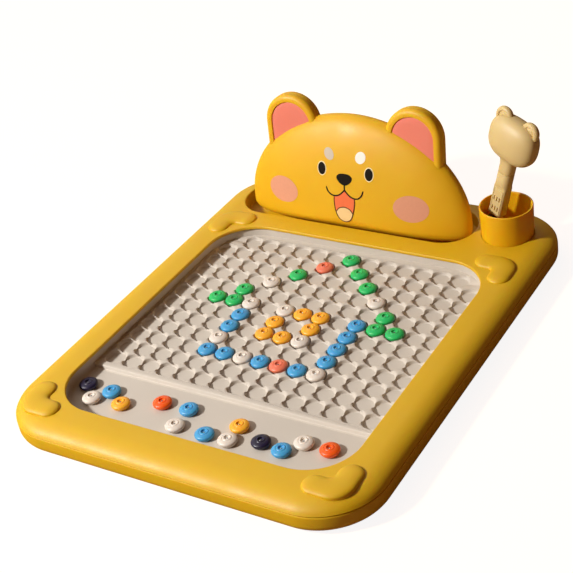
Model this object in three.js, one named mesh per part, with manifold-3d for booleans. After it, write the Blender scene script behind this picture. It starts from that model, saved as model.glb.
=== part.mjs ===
// A toy bead board: a round-cornered yellow case with a cream plate of round pits, studded
// beads that sit in the pits, an animal head in a recess behind them, and a magnetic pen in a cup.
// Lengths are millimetres. X runs to the right, Y away from the child, Z up from the table.

import * as THREE from "three";
import { mergeVertices } from "three/addons/utils/BufferGeometryUtils.js";
import Module from "manifold-3d";

const wasm = await Module();
wasm.setup();

// Fits shared by all pieces
const gap = 0.3;
const overrun = 1;
const weldDistance = 0.0001;

// The whole board
const boardWidth = 257;
const boardLength = 324;
const boardCornerRadius = 40.5;
const boardHeight = 20.5;
const footStand = 1;
const wall = 2.4;
const cornerSteps = 6;
const edgeSteps = 4;
const smallSides = 10;

// The rounded outside: a soft upper edge and a smaller lower one
const upperEdgeWidth = 14.7;
const upperEdgeDrop = 8;
const lowerEdgeWidth = 7;
const lowerEdgeRise = 6;
const partingHeight = 13.8;
const partingGroove = 0.5;

// The opening in the frame, over the bead plate
const sideBorder = 25.2;
const frontBorder = 26.65;
const rearBorder = 77.85;
const openingCornerRadius = 32;
const lipThickness = 2.2;
const lipRounding = 0.6;

// The bead plate: a field of pits, a step down to the loose bead tray, and a rim
const pitColumns = 15;
const pitRows = 12;
const pitSides = 8;
const pitOverlap = 0.4;
const pitWallSlope = 1.5;
const plateFloorHeight = 10;
const pitDepth = 2.5;
const plateThickness = 1.7;
const trayLength = 51.55;
const fieldFrontEdge = 2.2;
const fieldRearEdge = 3.75;
const fieldSideEdge = 2.05;
const fieldStepSlope = 2.5;
const rimThickness = 2.2;
const rimSetback = 0.5;
const rimFillet = 1.6;

// The flexible magnetic sheet under the plate, and the ribs that carry both
const sheetThickness = 0.8;
const sheetInset = 6;
const ribThickness = 1.6;
const ribRoot = 1.2;
const ribsAcross = 4;
const ribsAlong = 3;

// Screws up from below, through the case into the frame
const screwShankRadius = 1.5;
const screwHeadRadius = 2.8;
const screwHeadHeight = 2;
const screwLength = 13;
const screwPocketDepth = 3.4;
const bossWall = 1.9;
const frontScrewInset = 20.3;
const rearScrewInset = 11.5;
const rearScrewBehindOpening = 14;

// Rubber feet
const footRadius = 7;
const footHeight = 1.8;
const footChamfer = 0.5;
const footInset = 32;

// Corner pads: two short arms with round ends that meet in a round corner
const padArmLength = 30;
const padArmWidth = 15.2;
const padOuterRadius = 14;
const padInnerRadius = 3.5;
const padHeight = 2.6;
const padSideInset = 11.5;
const padFrontInset = 12;
const padRearBehindOpening = 12.6;
const padBevel = 1.7;
const padBevelSteps = 1;
const padCurveSteps = 4;
const padRootDepth = 4;

// The recess that the head sits down into
const recessLeftInset = 16;
const recessRightInset = 57.3;
const recessLength = 45.5;
const recessBehindOpening = 17;
const recessCornerRadius = 21.6;
const recessDepth = 10;
const recessChamfer = 0.9;
const supportRadius = 4.7;

// The head: a leaning pillow with two round ears
const headSideClearance = 4.15;
const headRightOfRecess = 3.35;
const headBehindRecessFront = 19.45;
const headLean = 6;
const headWidestHeight = 4.7;
const headUpperHeight = 70.86;
const headLowerHeight = 13.6;
const headHalfDepth = 19.5;
const headUpperPower = 1.964;
const headLowerPower = 4.84;
const headDepthPower = 2.089;
const headWall = 2.4;
const headUpperSteps = 16;
const headLowerSteps = 10;
const headRingShares = [0.42, 0.7, 0.88, 0.97];
const footPlugInset = 37.7;
const footPlugHalfDepth = 8;
const footPlugInside = 5;

// Ears
const earRadius = 21;
const earInset = 39.8;
const earAbove = 65;
const earStraight = 16;
const earHalfDepth = 5.5;
const earRounding = 3;
const earSides = 20;
const earDishRadius = 15.4;
const earDishDepth = 2;
const earInsertThickness = 1.3;

// The pen cup and the round seat that it drops into
const cupTopRadius = 18.3;
const cupBottomRadius = 17.7;
const cupAboveBoard = 21.9;
const cupSeatDepth = 3.2;
const cupSeatClearance = 0.4;
const cupWall = 1.3;
const cupFloorThickness = 2;
const cupFloorAboveBoard = 0.3;
const cupBaseRing = 2;
const cupSideInset = 34.6;
const cupRearInset = 35.1;
const cupSides = 24;
const socketHeight = 11.2;
const socketWall = 1.3;
const socketSides = 20;

// The pen, measured up from the square end of its grip
const penLean = 15.2;
const penTurn = -21;
const penLeftOfCup = 7.5;
const penBehindCup = 1.1;
const penGripBelowRim = 8.4;
const gripWidth = 10.8;
const gripDepth = 7.8;
const gripLength = 23;
const gripCorner = 1.6;
const gripBlendLength = 2.2;
const shankWidth = 11.2;
const shankDepth = 9.4;
const shankCorner = 4;
const handleLength = 34.6;
const magnetRadius = 2.6;
const magnetInHandle = 6;
const pinRadius = 2;
const pinLength = 6;
const penHeadHalfWidth = 19.4;
const penHeadHalfHeight = 15.7;
const penHeadHalfDepth = 10.2;
const penHeadCentre = 59.7;
const penHeadPower = 2.65;
const penDepthPower = 2.5;
const penRingShares = [0.5, 0.8, 0.95];
const penEarRadius = 7.1;
const penEarHalfDepth = 2.6;
const penEarAcross = 11.3;
const penEarAbove = 12.4;
const penHeadSides = 16;
const penEarSides = 10;
const ballRingShare = 0.6;

// Beads: a tapered base for the pit, a flange, and a dished dome
const beadSpacing = 0.6;
const beadTaper = 1.05;
const beadShoulder = 2.95;
const beadFlangeStart = 1.8;
const beadFlangeEnd = 2.4;
const beadHeight = 4.5;
const beadDishDepth = 0.8;
const beadSides = 10;

// Where each bead sits: its colour, then column from the left and row from the front, from 0
const picture = {
  green: [[5, 9], [7, 11], [8, 10], [9, 9], [11, 7], [11, 6], [12, 6], [3, 6], [2, 6], [3, 7]],
  coral: [[6, 10], [8, 2]],
  white: [[10, 8], [10, 2], [6, 2], [4, 3], [4, 6], [4, 8], [6, 6], [8, 4]],
  blue: [
    [10, 6], [10, 5], [10, 4], [10, 3], [9, 2], [7, 2], [5, 2], [4, 2], [4, 4], [4, 5],
  ],
  orange: [[7, 6], [8, 6], [6, 5], [6, 4], [7, 4], [8, 5]],
};

// Finishes
const finishes = {
  yellowPlastic: { color: 0xe3ab38, roughness: 0.38 },
  creamPlastic: { color: 0xd6c8b4, roughness: 0.5 },
  penPlastic: { color: 0xe2c187, roughness: 0.42 },
  pinkPlastic: { color: 0xe68269, roughness: 0.5 },
  darkRubber: { color: 0x2c2a28, roughness: 0.9 },
  magnetSheet: { color: 0x3a3634, roughness: 0.7 },
  magnetMetal: { color: 0x55524f, roughness: 0.45, metalness: 0.8 },
  screwSteel: { color: 0xa7a9ac, roughness: 0.35, metalness: 1 },
  green: { color: 0x2fb25a, roughness: 0.35 },
  coral: { color: 0xe85f4a, roughness: 0.35 },
  white: { color: 0xe0d6c8, roughness: 0.35 },
  blue: { color: 0x2f8fd6, roughness: 0.35 },
  orange: { color: 0xf7a021, roughness: 0.35 },
};
const materials = {};
for (const [name, finish] of Object.entries(finishes)) {
  materials[name] = new THREE.MeshStandardMaterial(finish);
}

// Places worked out from the sizes above
const radians = THREE.MathUtils.degToRad;
const openingHalfWidth = boardWidth / 2 - sideBorder;
const openingFront = -boardLength / 2 + frontBorder;
const openingRear = boardLength / 2 - rearBorder;
const openingHalfLength = (openingRear - openingFront) / 2;
const openingMiddle = (openingRear + openingFront) / 2;
const frameUnderside = boardHeight - lipThickness;
const upperEdgeStart = boardHeight - upperEdgeDrop;
const caseFloor = footStand + wall;
const plateUnderside = plateFloorHeight - plateThickness;
const sheetTop = plateUnderside - gap;
const sheetUnderside = sheetTop - sheetThickness;
const ribTop = sheetUnderside - gap;
const fieldFront = openingFront + trayLength;
const pitPitch = Math.min(
  (2 * openingHalfWidth - 2 * fieldSideEdge) / pitColumns,
  (openingRear - fieldFront - fieldFrontEdge - fieldRearEdge) / pitRows,
);
const fieldMiddle = fieldFront + fieldFrontEdge + (pitPitch * pitRows) / 2;
const pitTopRadius = pitPitch / 2 + pitOverlap;
const pitFloorRadius = pitTopRadius - pitWallSlope;
const pitTop = plateFloorHeight + pitDepth;
const recessFront = openingRear + recessBehindOpening;
const recessMiddle = recessFront + recessLength / 2;
const recessWidth = boardWidth - recessLeftInset - recessRightInset;
const recessCentre = (recessLeftInset - recessRightInset) / 2;
const headHalfWidth = recessWidth / 2 - headSideClearance;
const headCentreAcross = recessCentre + headRightOfRecess;
const footPlugHalfWidth = headHalfWidth - footPlugInset;
const earAcross = headHalfWidth - earInset;
const recessFloor = boardHeight - recessDepth;
const cupAcross = boardWidth / 2 - cupSideInset;
const cupAlong = boardLength / 2 - cupRearInset;
const cupSeat = boardHeight - cupSeatDepth;
const cupBottom = cupSeat + gap;
const cupRim = boardHeight + cupAboveBoard;
const cupFloor = boardHeight + cupFloorAboveBoard;
const beadFlangeRadius = pitPitch / 2 - beadSpacing;
const beadBaseRadius = beadFlangeRadius - beadTaper;
const beadDomeRadius = beadFlangeRadius - beadShoulder;

// A solid for joining and cutting, from any closed geometry
function solid(geometry) {
  const bare = geometry.clone();
  bare.deleteAttribute("normal");
  bare.deleteAttribute("uv");
  const welded = mergeVertices(bare, weldDistance);
  const corners = [];
  for (let i = 0; i < welded.index.count; i += 3) {
    const [a, b, c] = [0, 1, 2].map((k) => welded.index.getX(i + k));
    if (a !== b && b !== c && c !== a) corners.push(a, b, c);
  }
  return new wasm.Manifold(
    new wasm.Mesh({
      numProp: 3,
      vertProperties: welded.getAttribute("position").array,
      triVerts: new Uint32Array(corners),
    }),
  );
}

// The named mesh of a finished solid
function piece(name, body, finish) {
  const { vertProperties, triVerts } = body.getMesh();
  const geometry = new THREE.BufferGeometry();
  geometry.setAttribute("position", new THREE.BufferAttribute(vertProperties, 3));
  geometry.setIndex(new THREE.BufferAttribute(triVerts, 1));
  geometry.computeVertexNormals();
  const mesh = new THREE.Mesh(geometry, materials[finish]);
  mesh.name = name;
  return mesh;
}

// A skin through rings of equal counts; a ring of one point is a pole. A loop joins its ends.
function skin(rings, loop = false) {
  const points = [];
  const starts = rings.map((ring) => points.push(...ring) - ring.length);
  const corners = [];
  const last = loop ? rings.length : rings.length - 1;
  for (let r = 0; r < last; r++) {
    const next = (r + 1) % rings.length;
    const [low, high] = [rings[r].length, rings[next].length];
    const count = Math.max(low, high);
    for (let i = 0; i < count; i++) {
      const a = starts[r] + (i % low);
      const b = starts[r] + ((i + 1) % low);
      const c = starts[next] + ((i + 1) % high);
      const d = starts[next] + (i % high);
      if (a !== b) corners.push(a, b, c);
      if (c !== d) corners.push(a, c, d);
    }
  }
  const geometry = new THREE.BufferGeometry();
  geometry.setFromPoints(points);
  geometry.setIndex(corners);
  return geometry;
}

// One level ring: a rectangle with round corners, counter-clockwise seen from above
function ring(halfX, halfY, radius, height, middleY = 0, middleX = 0) {
  const points = [];
  const reach = Math.max(radius, weldDistance);
  const corners = [[1, -1], [1, 1], [-1, 1], [-1, -1]];
  corners.forEach(([sideX, sideY], quarter) => {
    for (let step = 0; step <= cornerSteps; step++) {
      const angle = (Math.PI / 2) * (quarter - 1 + step / cornerSteps);
      points.push(
        new THREE.Vector3(
          middleX + sideX * (halfX - reach) + reach * Math.cos(angle),
          middleY + sideY * (halfY - reach) + reach * Math.sin(angle),
          height,
        ),
      );
    }
  });
  return points;
}

// A ring of the board's own outline, drawn in by an inset
function boardRing(inset, height) {
  return ring(
    boardWidth / 2 - inset,
    boardLength / 2 - inset,
    boardCornerRadius - inset,
    height,
  );
}

// A ring of the opening's outline, drawn out by an outset
function openingRing(outset, height) {
  return ring(
    openingHalfWidth + outset,
    openingHalfLength + outset,
    openingCornerRadius + outset,
    height,
    openingMiddle,
  );
}

// The single point in the middle of a ring, which caps it
function pole(points) {
  const middle = new THREE.Vector3();
  points.forEach((point) => middle.add(point));
  return [middle.divideScalar(points.length)];
}

// A solid of rings capped at both ends
function stack(rings) {
  return solid(skin([pole(rings[0]), ...rings, pole(rings[rings.length - 1])]));
}

// A box between two corners
function block(lowX, highX, lowY, highY, lowZ, highZ) {
  const box = new THREE.BoxGeometry(highX - lowX, highY - lowY, highZ - lowZ);
  box.translate((lowX + highX) / 2, (lowY + highY) / 2, (lowZ + highZ) / 2);
  return solid(box);
}

// A turned solid on an upright axis, from a profile of [radius, height] read upwards on the outside
function turned(profile, sides, x = 0, y = 0, turn = 0) {
  const points = profile.map(([radius, height]) => new THREE.Vector2(radius, height));
  const lathe = new THREE.LatheGeometry(points, sides);
  lathe.rotateX(Math.PI / 2);
  lathe.rotateZ(turn);
  lathe.translate(x, y, 0);
  return solid(lathe);
}

// An upright round bar
function bar(radius, low, high, sides, x = 0, y = 0) {
  return turned([[0, low], [radius, low], [radius, high], [0, high]], sides, x, y);
}

// The outer skin of the upper edge: inset and height for a share of its quarter turn
function upperEdge(share) {
  const angle = (Math.PI / 2) * share;
  return [
    upperEdgeWidth * (1 - Math.cos(angle)),
    upperEdgeStart + upperEdgeDrop * Math.sin(angle),
  ];
}

// The share of the upper edge's turn that lies at a height
function upperEdgeShare(height) {
  return Math.asin((height - upperEdgeStart) / upperEdgeDrop) / (Math.PI / 2);
}

const boardGroup = new THREE.Group();
boardGroup.name = "magnetic_bead_board";

const screwPlaces = [];
for (const side of [-1, 1]) {
  screwPlaces.push([
    side * (boardWidth / 2 - frontScrewInset),
    -boardLength / 2 + frontScrewInset,
  ]);
  screwPlaces.push([
    side * (boardWidth / 2 - rearScrewInset),
    openingRear + rearScrewBehindOpening,
  ]);
}

// The top frame: a shell with a soft outer edge, the opening, the head recess and the cup seat
function topFrame() {
  const frameBottom = partingHeight + partingGroove / 2;
  const firstShare = upperEdgeShare(frameBottom);
  const rings = [];
  for (let step = 0; step <= edgeSteps; step++) {
    const share = firstShare + (1 - firstShare) * (step / edgeSteps);
    rings.push(boardRing(...upperEdge(share)));
  }
  rings.push(openingRing(lipRounding, boardHeight));
  rings.push(openingRing(0, boardHeight - lipRounding));
  rings.push(openingRing(0, frameUnderside));
  for (let step = edgeSteps; step >= 0; step--) {
    const share = firstShare + (1 - firstShare) * (step / edgeSteps);
    const [inset, height] = upperEdge(share);
    const lowered = Math.max(
      frameBottom,
      height - (lipThickness * (height - frameBottom)) / (boardHeight - frameBottom),
    );
    rings.push(boardRing(inset + wall * (1 - share) + lipRounding, lowered));
  }
  let frame = solid(skin(rings, true));

  const recess = (outset, low, high) =>
    stack([
      ring(recessWidth / 2 + outset, recessLength / 2 + outset,
        recessCornerRadius + outset, low, recessMiddle, recessCentre),
      ring(recessWidth / 2 + outset, recessLength / 2 + outset,
        recessCornerRadius + outset, high, recessMiddle, recessCentre),
    ]);
  frame = frame.add(recess(wall, recessFloor - wall, frameUnderside + lipRounding));
  frame = frame.add(
    bar(cupBottomRadius + cupSeatClearance + wall, cupSeat - wall,
      frameUnderside + lipRounding, cupSides, cupAcross, cupAlong),
  );
  for (const [x, y] of screwPlaces) {
    const bossRadius = screwShankRadius + gap + bossWall;
    frame = frame.add(
      bar(bossRadius, plateFloorHeight, frameUnderside + lipRounding, smallSides, x, y),
    );
  }

  const mouth = stack([
    ring(recessWidth / 2, recessLength / 2, recessCornerRadius,
      boardHeight - recessChamfer, recessMiddle, recessCentre),
    ring(recessWidth / 2 + recessChamfer, recessLength / 2 + recessChamfer,
      recessCornerRadius + recessChamfer, boardHeight + weldDistance, recessMiddle, recessCentre),
  ]);
  frame = frame.subtract(recess(0, recessFloor, boardHeight + overrun)).subtract(mouth);
  frame = frame.subtract(
    bar(cupBottomRadius + cupSeatClearance, cupSeat, boardHeight + overrun,
      cupSides, cupAcross, cupAlong),
  );
  for (const [x, y] of screwPlaces) {
    const holeTop = footStand + screwPocketDepth + screwLength + gap - screwHeadHeight;
    frame = frame.subtract(
      bar(screwShankRadius + gap, plateFloorHeight - overrun, holeTop, smallSides, x, y),
    );
  }
  return frame;
}

// The lower case: a shallow dish with ribs, screw bosses and foot recesses
function lowerCase() {
  const caseTop = partingHeight - partingGroove / 2;
  const [topInset] = upperEdge(upperEdgeShare(caseTop));
  const lowerStart = footStand + lowerEdgeRise;
  const outside = [];
  const inside = [];
  for (let step = 0; step <= edgeSteps; step++) {
    const angle = (Math.PI / 2) * (1 - step / edgeSteps);
    const inset = lowerEdgeWidth * (1 - Math.cos(angle));
    const height = lowerStart - lowerEdgeRise * Math.sin(angle);
    outside.push(boardRing(inset, height));
    inside.unshift(boardRing(inset + wall, height + wall * Math.sin(angle)));
  }
  outside.push(boardRing(0, upperEdgeStart), boardRing(topInset, caseTop));
  inside.unshift(boardRing(topInset + wall, caseTop));
  let dish = stack([...outside, ...inside]);

  const ribLow = caseFloor - ribRoot;
  const plateEdge = openingHalfWidth - sheetInset;
  for (let i = 0; i < ribsAcross; i++) {
    const y = openingMiddle + openingHalfLength * ((2 * i + 1) / ribsAcross - 1);
    dish = dish.add(
      block(-plateEdge, plateEdge, y - ribThickness / 2, y + ribThickness / 2, ribLow, ribTop),
    );
  }
  for (let i = 0; i < ribsAlong; i++) {
    const x = openingHalfWidth * ((2 * i + 1) / ribsAlong - 1);
    const [low, high] = [openingFront + sheetInset, openingRear - sheetInset];
    const top = ribTop - gap;
    dish = dish.add(block(x - ribThickness / 2, x + ribThickness / 2, low, high, ribLow, top));
  }
  const postTop = recessFloor - wall - gap;
  for (const side of [-1, 1]) {
    const x = recessCentre + (side * recessWidth) / 4;
    dish = dish.add(bar(supportRadius, ribLow, postTop, smallSides, x, recessMiddle));
  }
  for (const [x, y] of screwPlaces) {
    const bossRadius = screwHeadRadius + gap + bossWall;
    dish = dish.add(bar(bossRadius, ribLow, plateFloorHeight - gap, smallSides, x, y));
  }
  for (const [x, y] of screwPlaces) {
    const shankRadius = screwShankRadius + gap;
    const pocketRadius = screwHeadRadius + gap;
    const pocketTop = footStand + screwPocketDepth;
    dish = dish.subtract(bar(shankRadius, 0, plateFloorHeight + overrun, smallSides, x, y));
    dish = dish.subtract(bar(pocketRadius, 0, pocketTop, smallSides, x, y));
  }
  for (const [x, y] of footPlaces()) {
    dish = dish.subtract(bar(footRadius + gap, 0, footHeight + gap, smallSides, x, y));
  }
  return dish;
}

// The four places of the feet
function footPlaces() {
  const [x, y] = [boardWidth / 2 - footInset, boardLength / 2 - footInset];
  return [[-x, -y], [x, -y], [-x, y], [x, y]];
}

// The bead plate: a dish with a raised field, and a pit for each place of the field
function beadPlate() {
  const rimTop = frameUnderside - gap;
  const outer = rimSetback + rimThickness;
  const rings = [
    openingRing(outer, plateUnderside),
    openingRing(outer, rimTop),
    openingRing(rimSetback, rimTop),
    openingRing(rimSetback, plateFloorHeight + rimFillet),
    openingRing(rimSetback - rimFillet, plateFloorHeight),
  ];
  let plate = stack(rings);
  const deck = stack([
    openingRing(rimSetback + rimThickness / 2, plateUnderside + overrun),
    openingRing(rimSetback + rimThickness / 2, pitTop),
  ]);
  plate = plate.add(deck.intersect(fieldWedge()));
  return plate.subtract(allPits());
}

// Everything behind the field's front edge, with the soft slope of its step
function fieldWedge() {
  const outline = new THREE.Shape();
  outline.moveTo(fieldFront - fieldStepSlope, 0);
  outline.lineTo(fieldFront - fieldStepSlope, plateFloorHeight);
  outline.lineTo(fieldFront, pitTop);
  outline.lineTo(fieldFront, boardHeight);
  outline.lineTo(openingRear + sideBorder, boardHeight);
  outline.lineTo(openingRear + sideBorder, 0);
  const wedge = new THREE.ExtrudeGeometry(outline, { depth: boardWidth, bevelEnabled: false });
  wedge.translate(0, 0, -boardWidth / 2);
  wedge.rotateX(Math.PI / 2);
  wedge.rotateZ(Math.PI / 2);
  return solid(wedge);
}

// The middle of one place of the field
function pitPlace(column, row) {
  return [
    pitPitch * (column - (pitColumns - 1) / 2),
    fieldMiddle + pitPitch * (row - (pitRows - 1) / 2),
  ];
}

// All pits as one cutting body; the two rear corners of the field have none
function allPits() {
  const slope = (pitTopRadius - pitFloorRadius) / pitDepth;
  const profile = [
    [0, plateFloorHeight],
    [pitFloorRadius, plateFloorHeight],
    [pitTopRadius + slope * overrun, pitTop + overrun],
    [0, pitTop + overrun],
  ];
  const pits = [];
  for (let row = 0; row < pitRows; row++) {
    for (let column = 0; column < pitColumns; column++) {
      const atEnd = column === 0 || column === pitColumns - 1;
      if (atEnd && row === pitRows - 1) continue;
      pits.push(turned(profile, pitSides, ...pitPlace(column, row), Math.PI / pitSides));
    }
  }
  return wasm.Manifold.union(pits);
}

// The flexible magnetic sheet that holds the beads' steel centres
function magnetSheet() {
  return stack([
    openingRing(-sheetInset / 2, sheetUnderside),
    openingRing(-sheetInset / 2, sheetTop),
  ]);
}

// A pan-head screw, head down in its pocket
function caseScrew(x, y) {
  const headTop = footStand + screwPocketDepth - gap;
  const headLow = headTop - screwHeadHeight;
  return turned(
    [
      [0, headLow],
      [screwHeadRadius, headLow],
      [screwHeadRadius, headTop],
      [screwShankRadius, headTop],
      [screwShankRadius, headTop + screwLength - screwHeadHeight],
      [0, headTop + screwLength - screwHeadHeight],
    ],
    smallSides, x, y,
  );
}

// A rubber foot, chamfered where it meets the table
function rubberFoot(x, y) {
  return turned(
    [
      [0, 0],
      [footRadius - footChamfer, 0],
      [footRadius, footChamfer],
      [footRadius, footHeight],
      [0, footHeight],
    ],
    smallSides, x, y,
  );
}

// A corner pad in one corner of the frame, its underside following the frame's soft edge
function cornerPad(sideX, sideY) {
  const cornerX = boardWidth / 2 - padSideInset;
  const cornerY = sideY < 0 ? boardLength / 2 - padFrontInset : openingRear + padRearBehindOpening;
  const end = padArmWidth / 2;
  const outline = new THREE.Shape();
  outline.moveTo(padOuterRadius, 0);
  outline.lineTo(padArmLength - end, 0);
  outline.absarc(padArmLength - end, end, end, -Math.PI / 2, Math.PI / 2, false);
  outline.lineTo(padArmWidth + padInnerRadius, padArmWidth);
  outline.absarc(padArmWidth + padInnerRadius, padArmWidth + padInnerRadius, padInnerRadius,
    -Math.PI / 2, -Math.PI, true);
  outline.lineTo(padArmWidth, padArmLength - end);
  outline.absarc(end, padArmLength - end, end, 0, Math.PI, false);
  outline.lineTo(0, padOuterRadius);
  outline.absarc(padOuterRadius, padOuterRadius, padOuterRadius, Math.PI, Math.PI * 1.5, false);
  const drawnIn = new THREE.ExtrudeGeometry(outline, {
    depth: padHeight + padRootDepth - padBevel,
    bevelEnabled: true,
    bevelThickness: padBevel,
    bevelSize: padBevel,
    bevelOffset: -padBevel,
    bevelSegments: padBevelSteps,
    curveSegments: padCurveSteps,
  });
  drawnIn.translate(0, 0, boardHeight - padRootDepth);
  drawnIn.rotateZ(Math.atan2(-sideY, -sideX) - Math.PI / 4);
  drawnIn.translate(sideX * cornerX, sideY * cornerY, 0);
  const below = [boardRing(0, 0)];
  for (let step = 0; step <= edgeSteps; step++) {
    const [inset, height] = upperEdge(step / edgeSteps);
    below.push(boardRing(inset, height + gap));
  }
  return solid(drawnIn).subtract(stack(below));
}

// Adds points of a squared-off oval: half its width, its power and its height above the widest line
function addOval(outline, share, half, power, height) {
  const angle = Math.PI * share;
  const [across, up] = [Math.cos(angle), Math.sin(angle)];
  outline.push([
    half * Math.sign(across) * Math.abs(across) ** (2 / power),
    height * Math.sign(up) * Math.abs(up) ** (2 / power),
  ]);
}

// A pillow: an upright outline of [x, z] that swells to a depth in front and behind
function swelled(outline, depth, power, shares, widest) {
  const level = (share, side) => {
    const y = side * depth * (1 - share ** 2) ** (1 / power);
    return outline.map(([x, z]) => new THREE.Vector3(x * share, y, widest + z * share));
  };
  const rings = [];
  rings.push([new THREE.Vector3(0, depth, widest)]);
  for (const share of shares) rings.push(level(share, 1));
  rings.push(level(1, 0));
  for (const share of [...shares].reverse()) rings.push(level(share, -1));
  rings.push([new THREE.Vector3(0, -depth, widest)]);
  return solid(skin(rings));
}

// The pillow of the head, drawn in by an inset, in the head's own leaning frame
function pillow(inset) {
  const outline = [];
  const half = headHalfWidth - inset;
  for (let i = 0; i < headUpperSteps; i++) {
    addOval(outline, i / headUpperSteps, half, headUpperPower, headUpperHeight - inset);
  }
  for (let i = 0; i < headLowerSteps; i++) {
    addOval(outline, 1 + i / headLowerSteps, half, headLowerPower, headLowerHeight - inset);
  }
  return swelled(outline, headHalfDepth - inset, headDepthPower, headRingShares, headWidestHeight);
}

// A round body on the ear's axis, which runs front to back, drawn straight down into the head
function onEarAxis(profile, side) {
  const points = profile.map(([radius, depth]) => new THREE.Vector2(radius, depth));
  const lathe = new THREE.LatheGeometry(points, earSides);
  lathe.translate(side * earAcross, 0, earAbove);
  const top = solid(lathe);
  return wasm.Manifold.hull([top, top.translate([0, 0, -earStraight])]);
}

// One ear, with its dish in front and hollow inside
function ear(side) {
  const inner = earRadius - earRounding;
  const cut = earRounding * (1 - Math.SQRT1_2);
  const shell = onEarAxis(
    [
      [0, -earHalfDepth],
      [inner, -earHalfDepth],
      [earRadius - cut, cut - earHalfDepth],
      [earRadius, earRounding - earHalfDepth],
      [earRadius, earHalfDepth - earRounding],
      [earRadius - cut, earHalfDepth - cut],
      [inner, earHalfDepth],
      [0, earHalfDepth],
    ],
    side,
  );
  const dishRadius = earDishRadius + gap;
  const dishFloor = earDishDepth - earHalfDepth;
  const dish = onEarAxis(
    [
      [0, -earHalfDepth - overrun],
      [dishRadius, -earHalfDepth - overrun],
      [dishRadius, dishFloor],
      [0, dishFloor],
    ],
    side,
  );
  const hollow = onEarAxis(
    [
      [0, dishFloor + headWall],
      [earRadius - headWall, dishFloor + headWall],
      [earRadius - headWall, earHalfDepth - headWall],
      [0, earHalfDepth - headWall],
    ],
    side,
  );
  return [shell.subtract(dish), hollow];
}

// The pink disc in an ear's dish, cut off where the pillow covers it
function earInsert(side) {
  const back = earDishDepth - earHalfDepth - gap;
  const disc = onEarAxis(
    [
      [0, back - earInsertThickness],
      [earDishRadius, back - earInsertThickness],
      [earDishRadius, back],
      [0, back],
    ],
    side,
  );
  return disc.subtract(pillow(-gap));
}

// How deep the flat foot under the head reaches below the board's top, along its lean
function footPlugLow() {
  const lean = radians(headLean);
  return (gap - recessDepth + footPlugHalfDepth * Math.sin(lean)) / Math.cos(lean);
}

// The front or rear shell of the head, split on its middle plane
function headShell(side) {
  const [leftEar, leftHollow] = ear(-1);
  const [rightEar, rightHollow] = ear(1);
  const reach = headHalfWidth + earRadius;
  const keep = [gap / 2, headHalfDepth + overrun];
  const [low, high] = side < 0 ? [-keep[1], -keep[0]] : keep;
  const half = block(-reach, reach, low, high, -reach, reach);
  const inside = pillow(headWall);
  const foot = block(-footPlugHalfWidth, footPlugHalfWidth, -footPlugHalfDepth, footPlugHalfDepth,
    footPlugLow(), -footPlugInside);
  return pillow(0)
    .add(leftEar)
    .add(rightEar)
    .subtract(leftHollow)
    .subtract(rightHollow)
    .subtract(inside)
    .add(foot)
    .intersect(half);
}

const headGroup = new THREE.Group();
headGroup.position.set(headCentreAcross, recessFront + headBehindRecessFront, boardHeight);
headGroup.rotation.x = -radians(headLean);

// The pen cup on a base ring, with a loose round socket on its floor for the pen's tip
function penCup() {
  const taper = (cupTopRadius - cupBottomRadius) / (cupRim - cupBottom);
  const innerLow = cupBottomRadius + taper * (cupFloor - cupBottom) - cupWall;
  const underside = cupFloor - cupFloorThickness;
  const cup = turned(
    [
      [0, underside],
      [cupBottomRadius - cupBaseRing, underside],
      [cupBottomRadius - cupBaseRing, cupBottom],
      [cupBottomRadius, cupBottom],
      [cupTopRadius, cupRim],
      [cupTopRadius - cupWall, cupRim],
      [innerLow, cupFloor],
      [0, cupFloor],
    ],
    cupSides, cupAcross, cupAlong,
  );
  const lean = radians(penLean);
  const hole = magnetRadius / Math.cos(lean) + (socketHeight / 2) * Math.tan(lean) + gap;
  const middle = cupFloor + socketHeight / 2;
  const x = penFoot().x - (penFoot().z - middle) * Math.tan(lean);
  const y = penFoot().y;
  const socketTop = cupFloor + socketHeight;
  const postLow = cupFloor - cupFloorThickness / 2;
  const post = bar(hole + socketWall, postLow, socketTop, socketSides, x, y);
  return cup.add(post).subtract(bar(hole, cupFloor, socketTop + overrun, socketSides, x, y));
}

// The middle of the grip's square end
function penFoot() {
  return new THREE.Vector3(
    cupAcross - penLeftOfCup,
    cupAlong + penBehindCup,
    cupRim - penGripBelowRim,
  );
}

// A bar with a round-cornered section on the pen's own axis
function penBar(width, depth, corner, low, high) {
  return stack([
    ring(width / 2, depth / 2, corner, low),
    ring(width / 2, depth / 2, corner, high),
  ]);
}

// How far the magnet reaches below the grip, to stand in the cup's socket
function magnetBelowGrip() {
  const lean = radians(penLean);
  const drop = penFoot().z - cupFloor - gap - magnetRadius * Math.sin(lean);
  return drop / Math.cos(lean);
}

// The pen's handle: a flat grip, then a rounder shank with a blind hole at each end
function penHandle() {
  const body = stack([
    ring(gripWidth / 2, gripDepth / 2, gripCorner, 0),
    ring(gripWidth / 2, gripDepth / 2, gripCorner, gripLength),
    ring(shankWidth / 2, shankDepth / 2, shankCorner, gripLength + gripBlendLength),
    ring(shankWidth / 2, shankDepth / 2, shankCorner, handleLength - gap),
  ]);
  return body
    .subtract(bar(magnetRadius - gap, -overrun, magnetInHandle, smallSides))
    .subtract(bar(pinRadius + gap, handleLength - pinLength - gap, handleLength, smallSides));
}

// The magnet: a stem in the handle and a round tip below it
function penMagnet() {
  const stem = magnetRadius - 2 * gap;
  return turned(
    [
      [0, -magnetBelowGrip()],
      [magnetRadius, -magnetBelowGrip()],
      [magnetRadius, -gap],
      [stem, -gap],
      [stem, magnetInHandle - gap],
      [0, magnetInHandle - gap],
    ],
    socketSides,
  );
}

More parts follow.
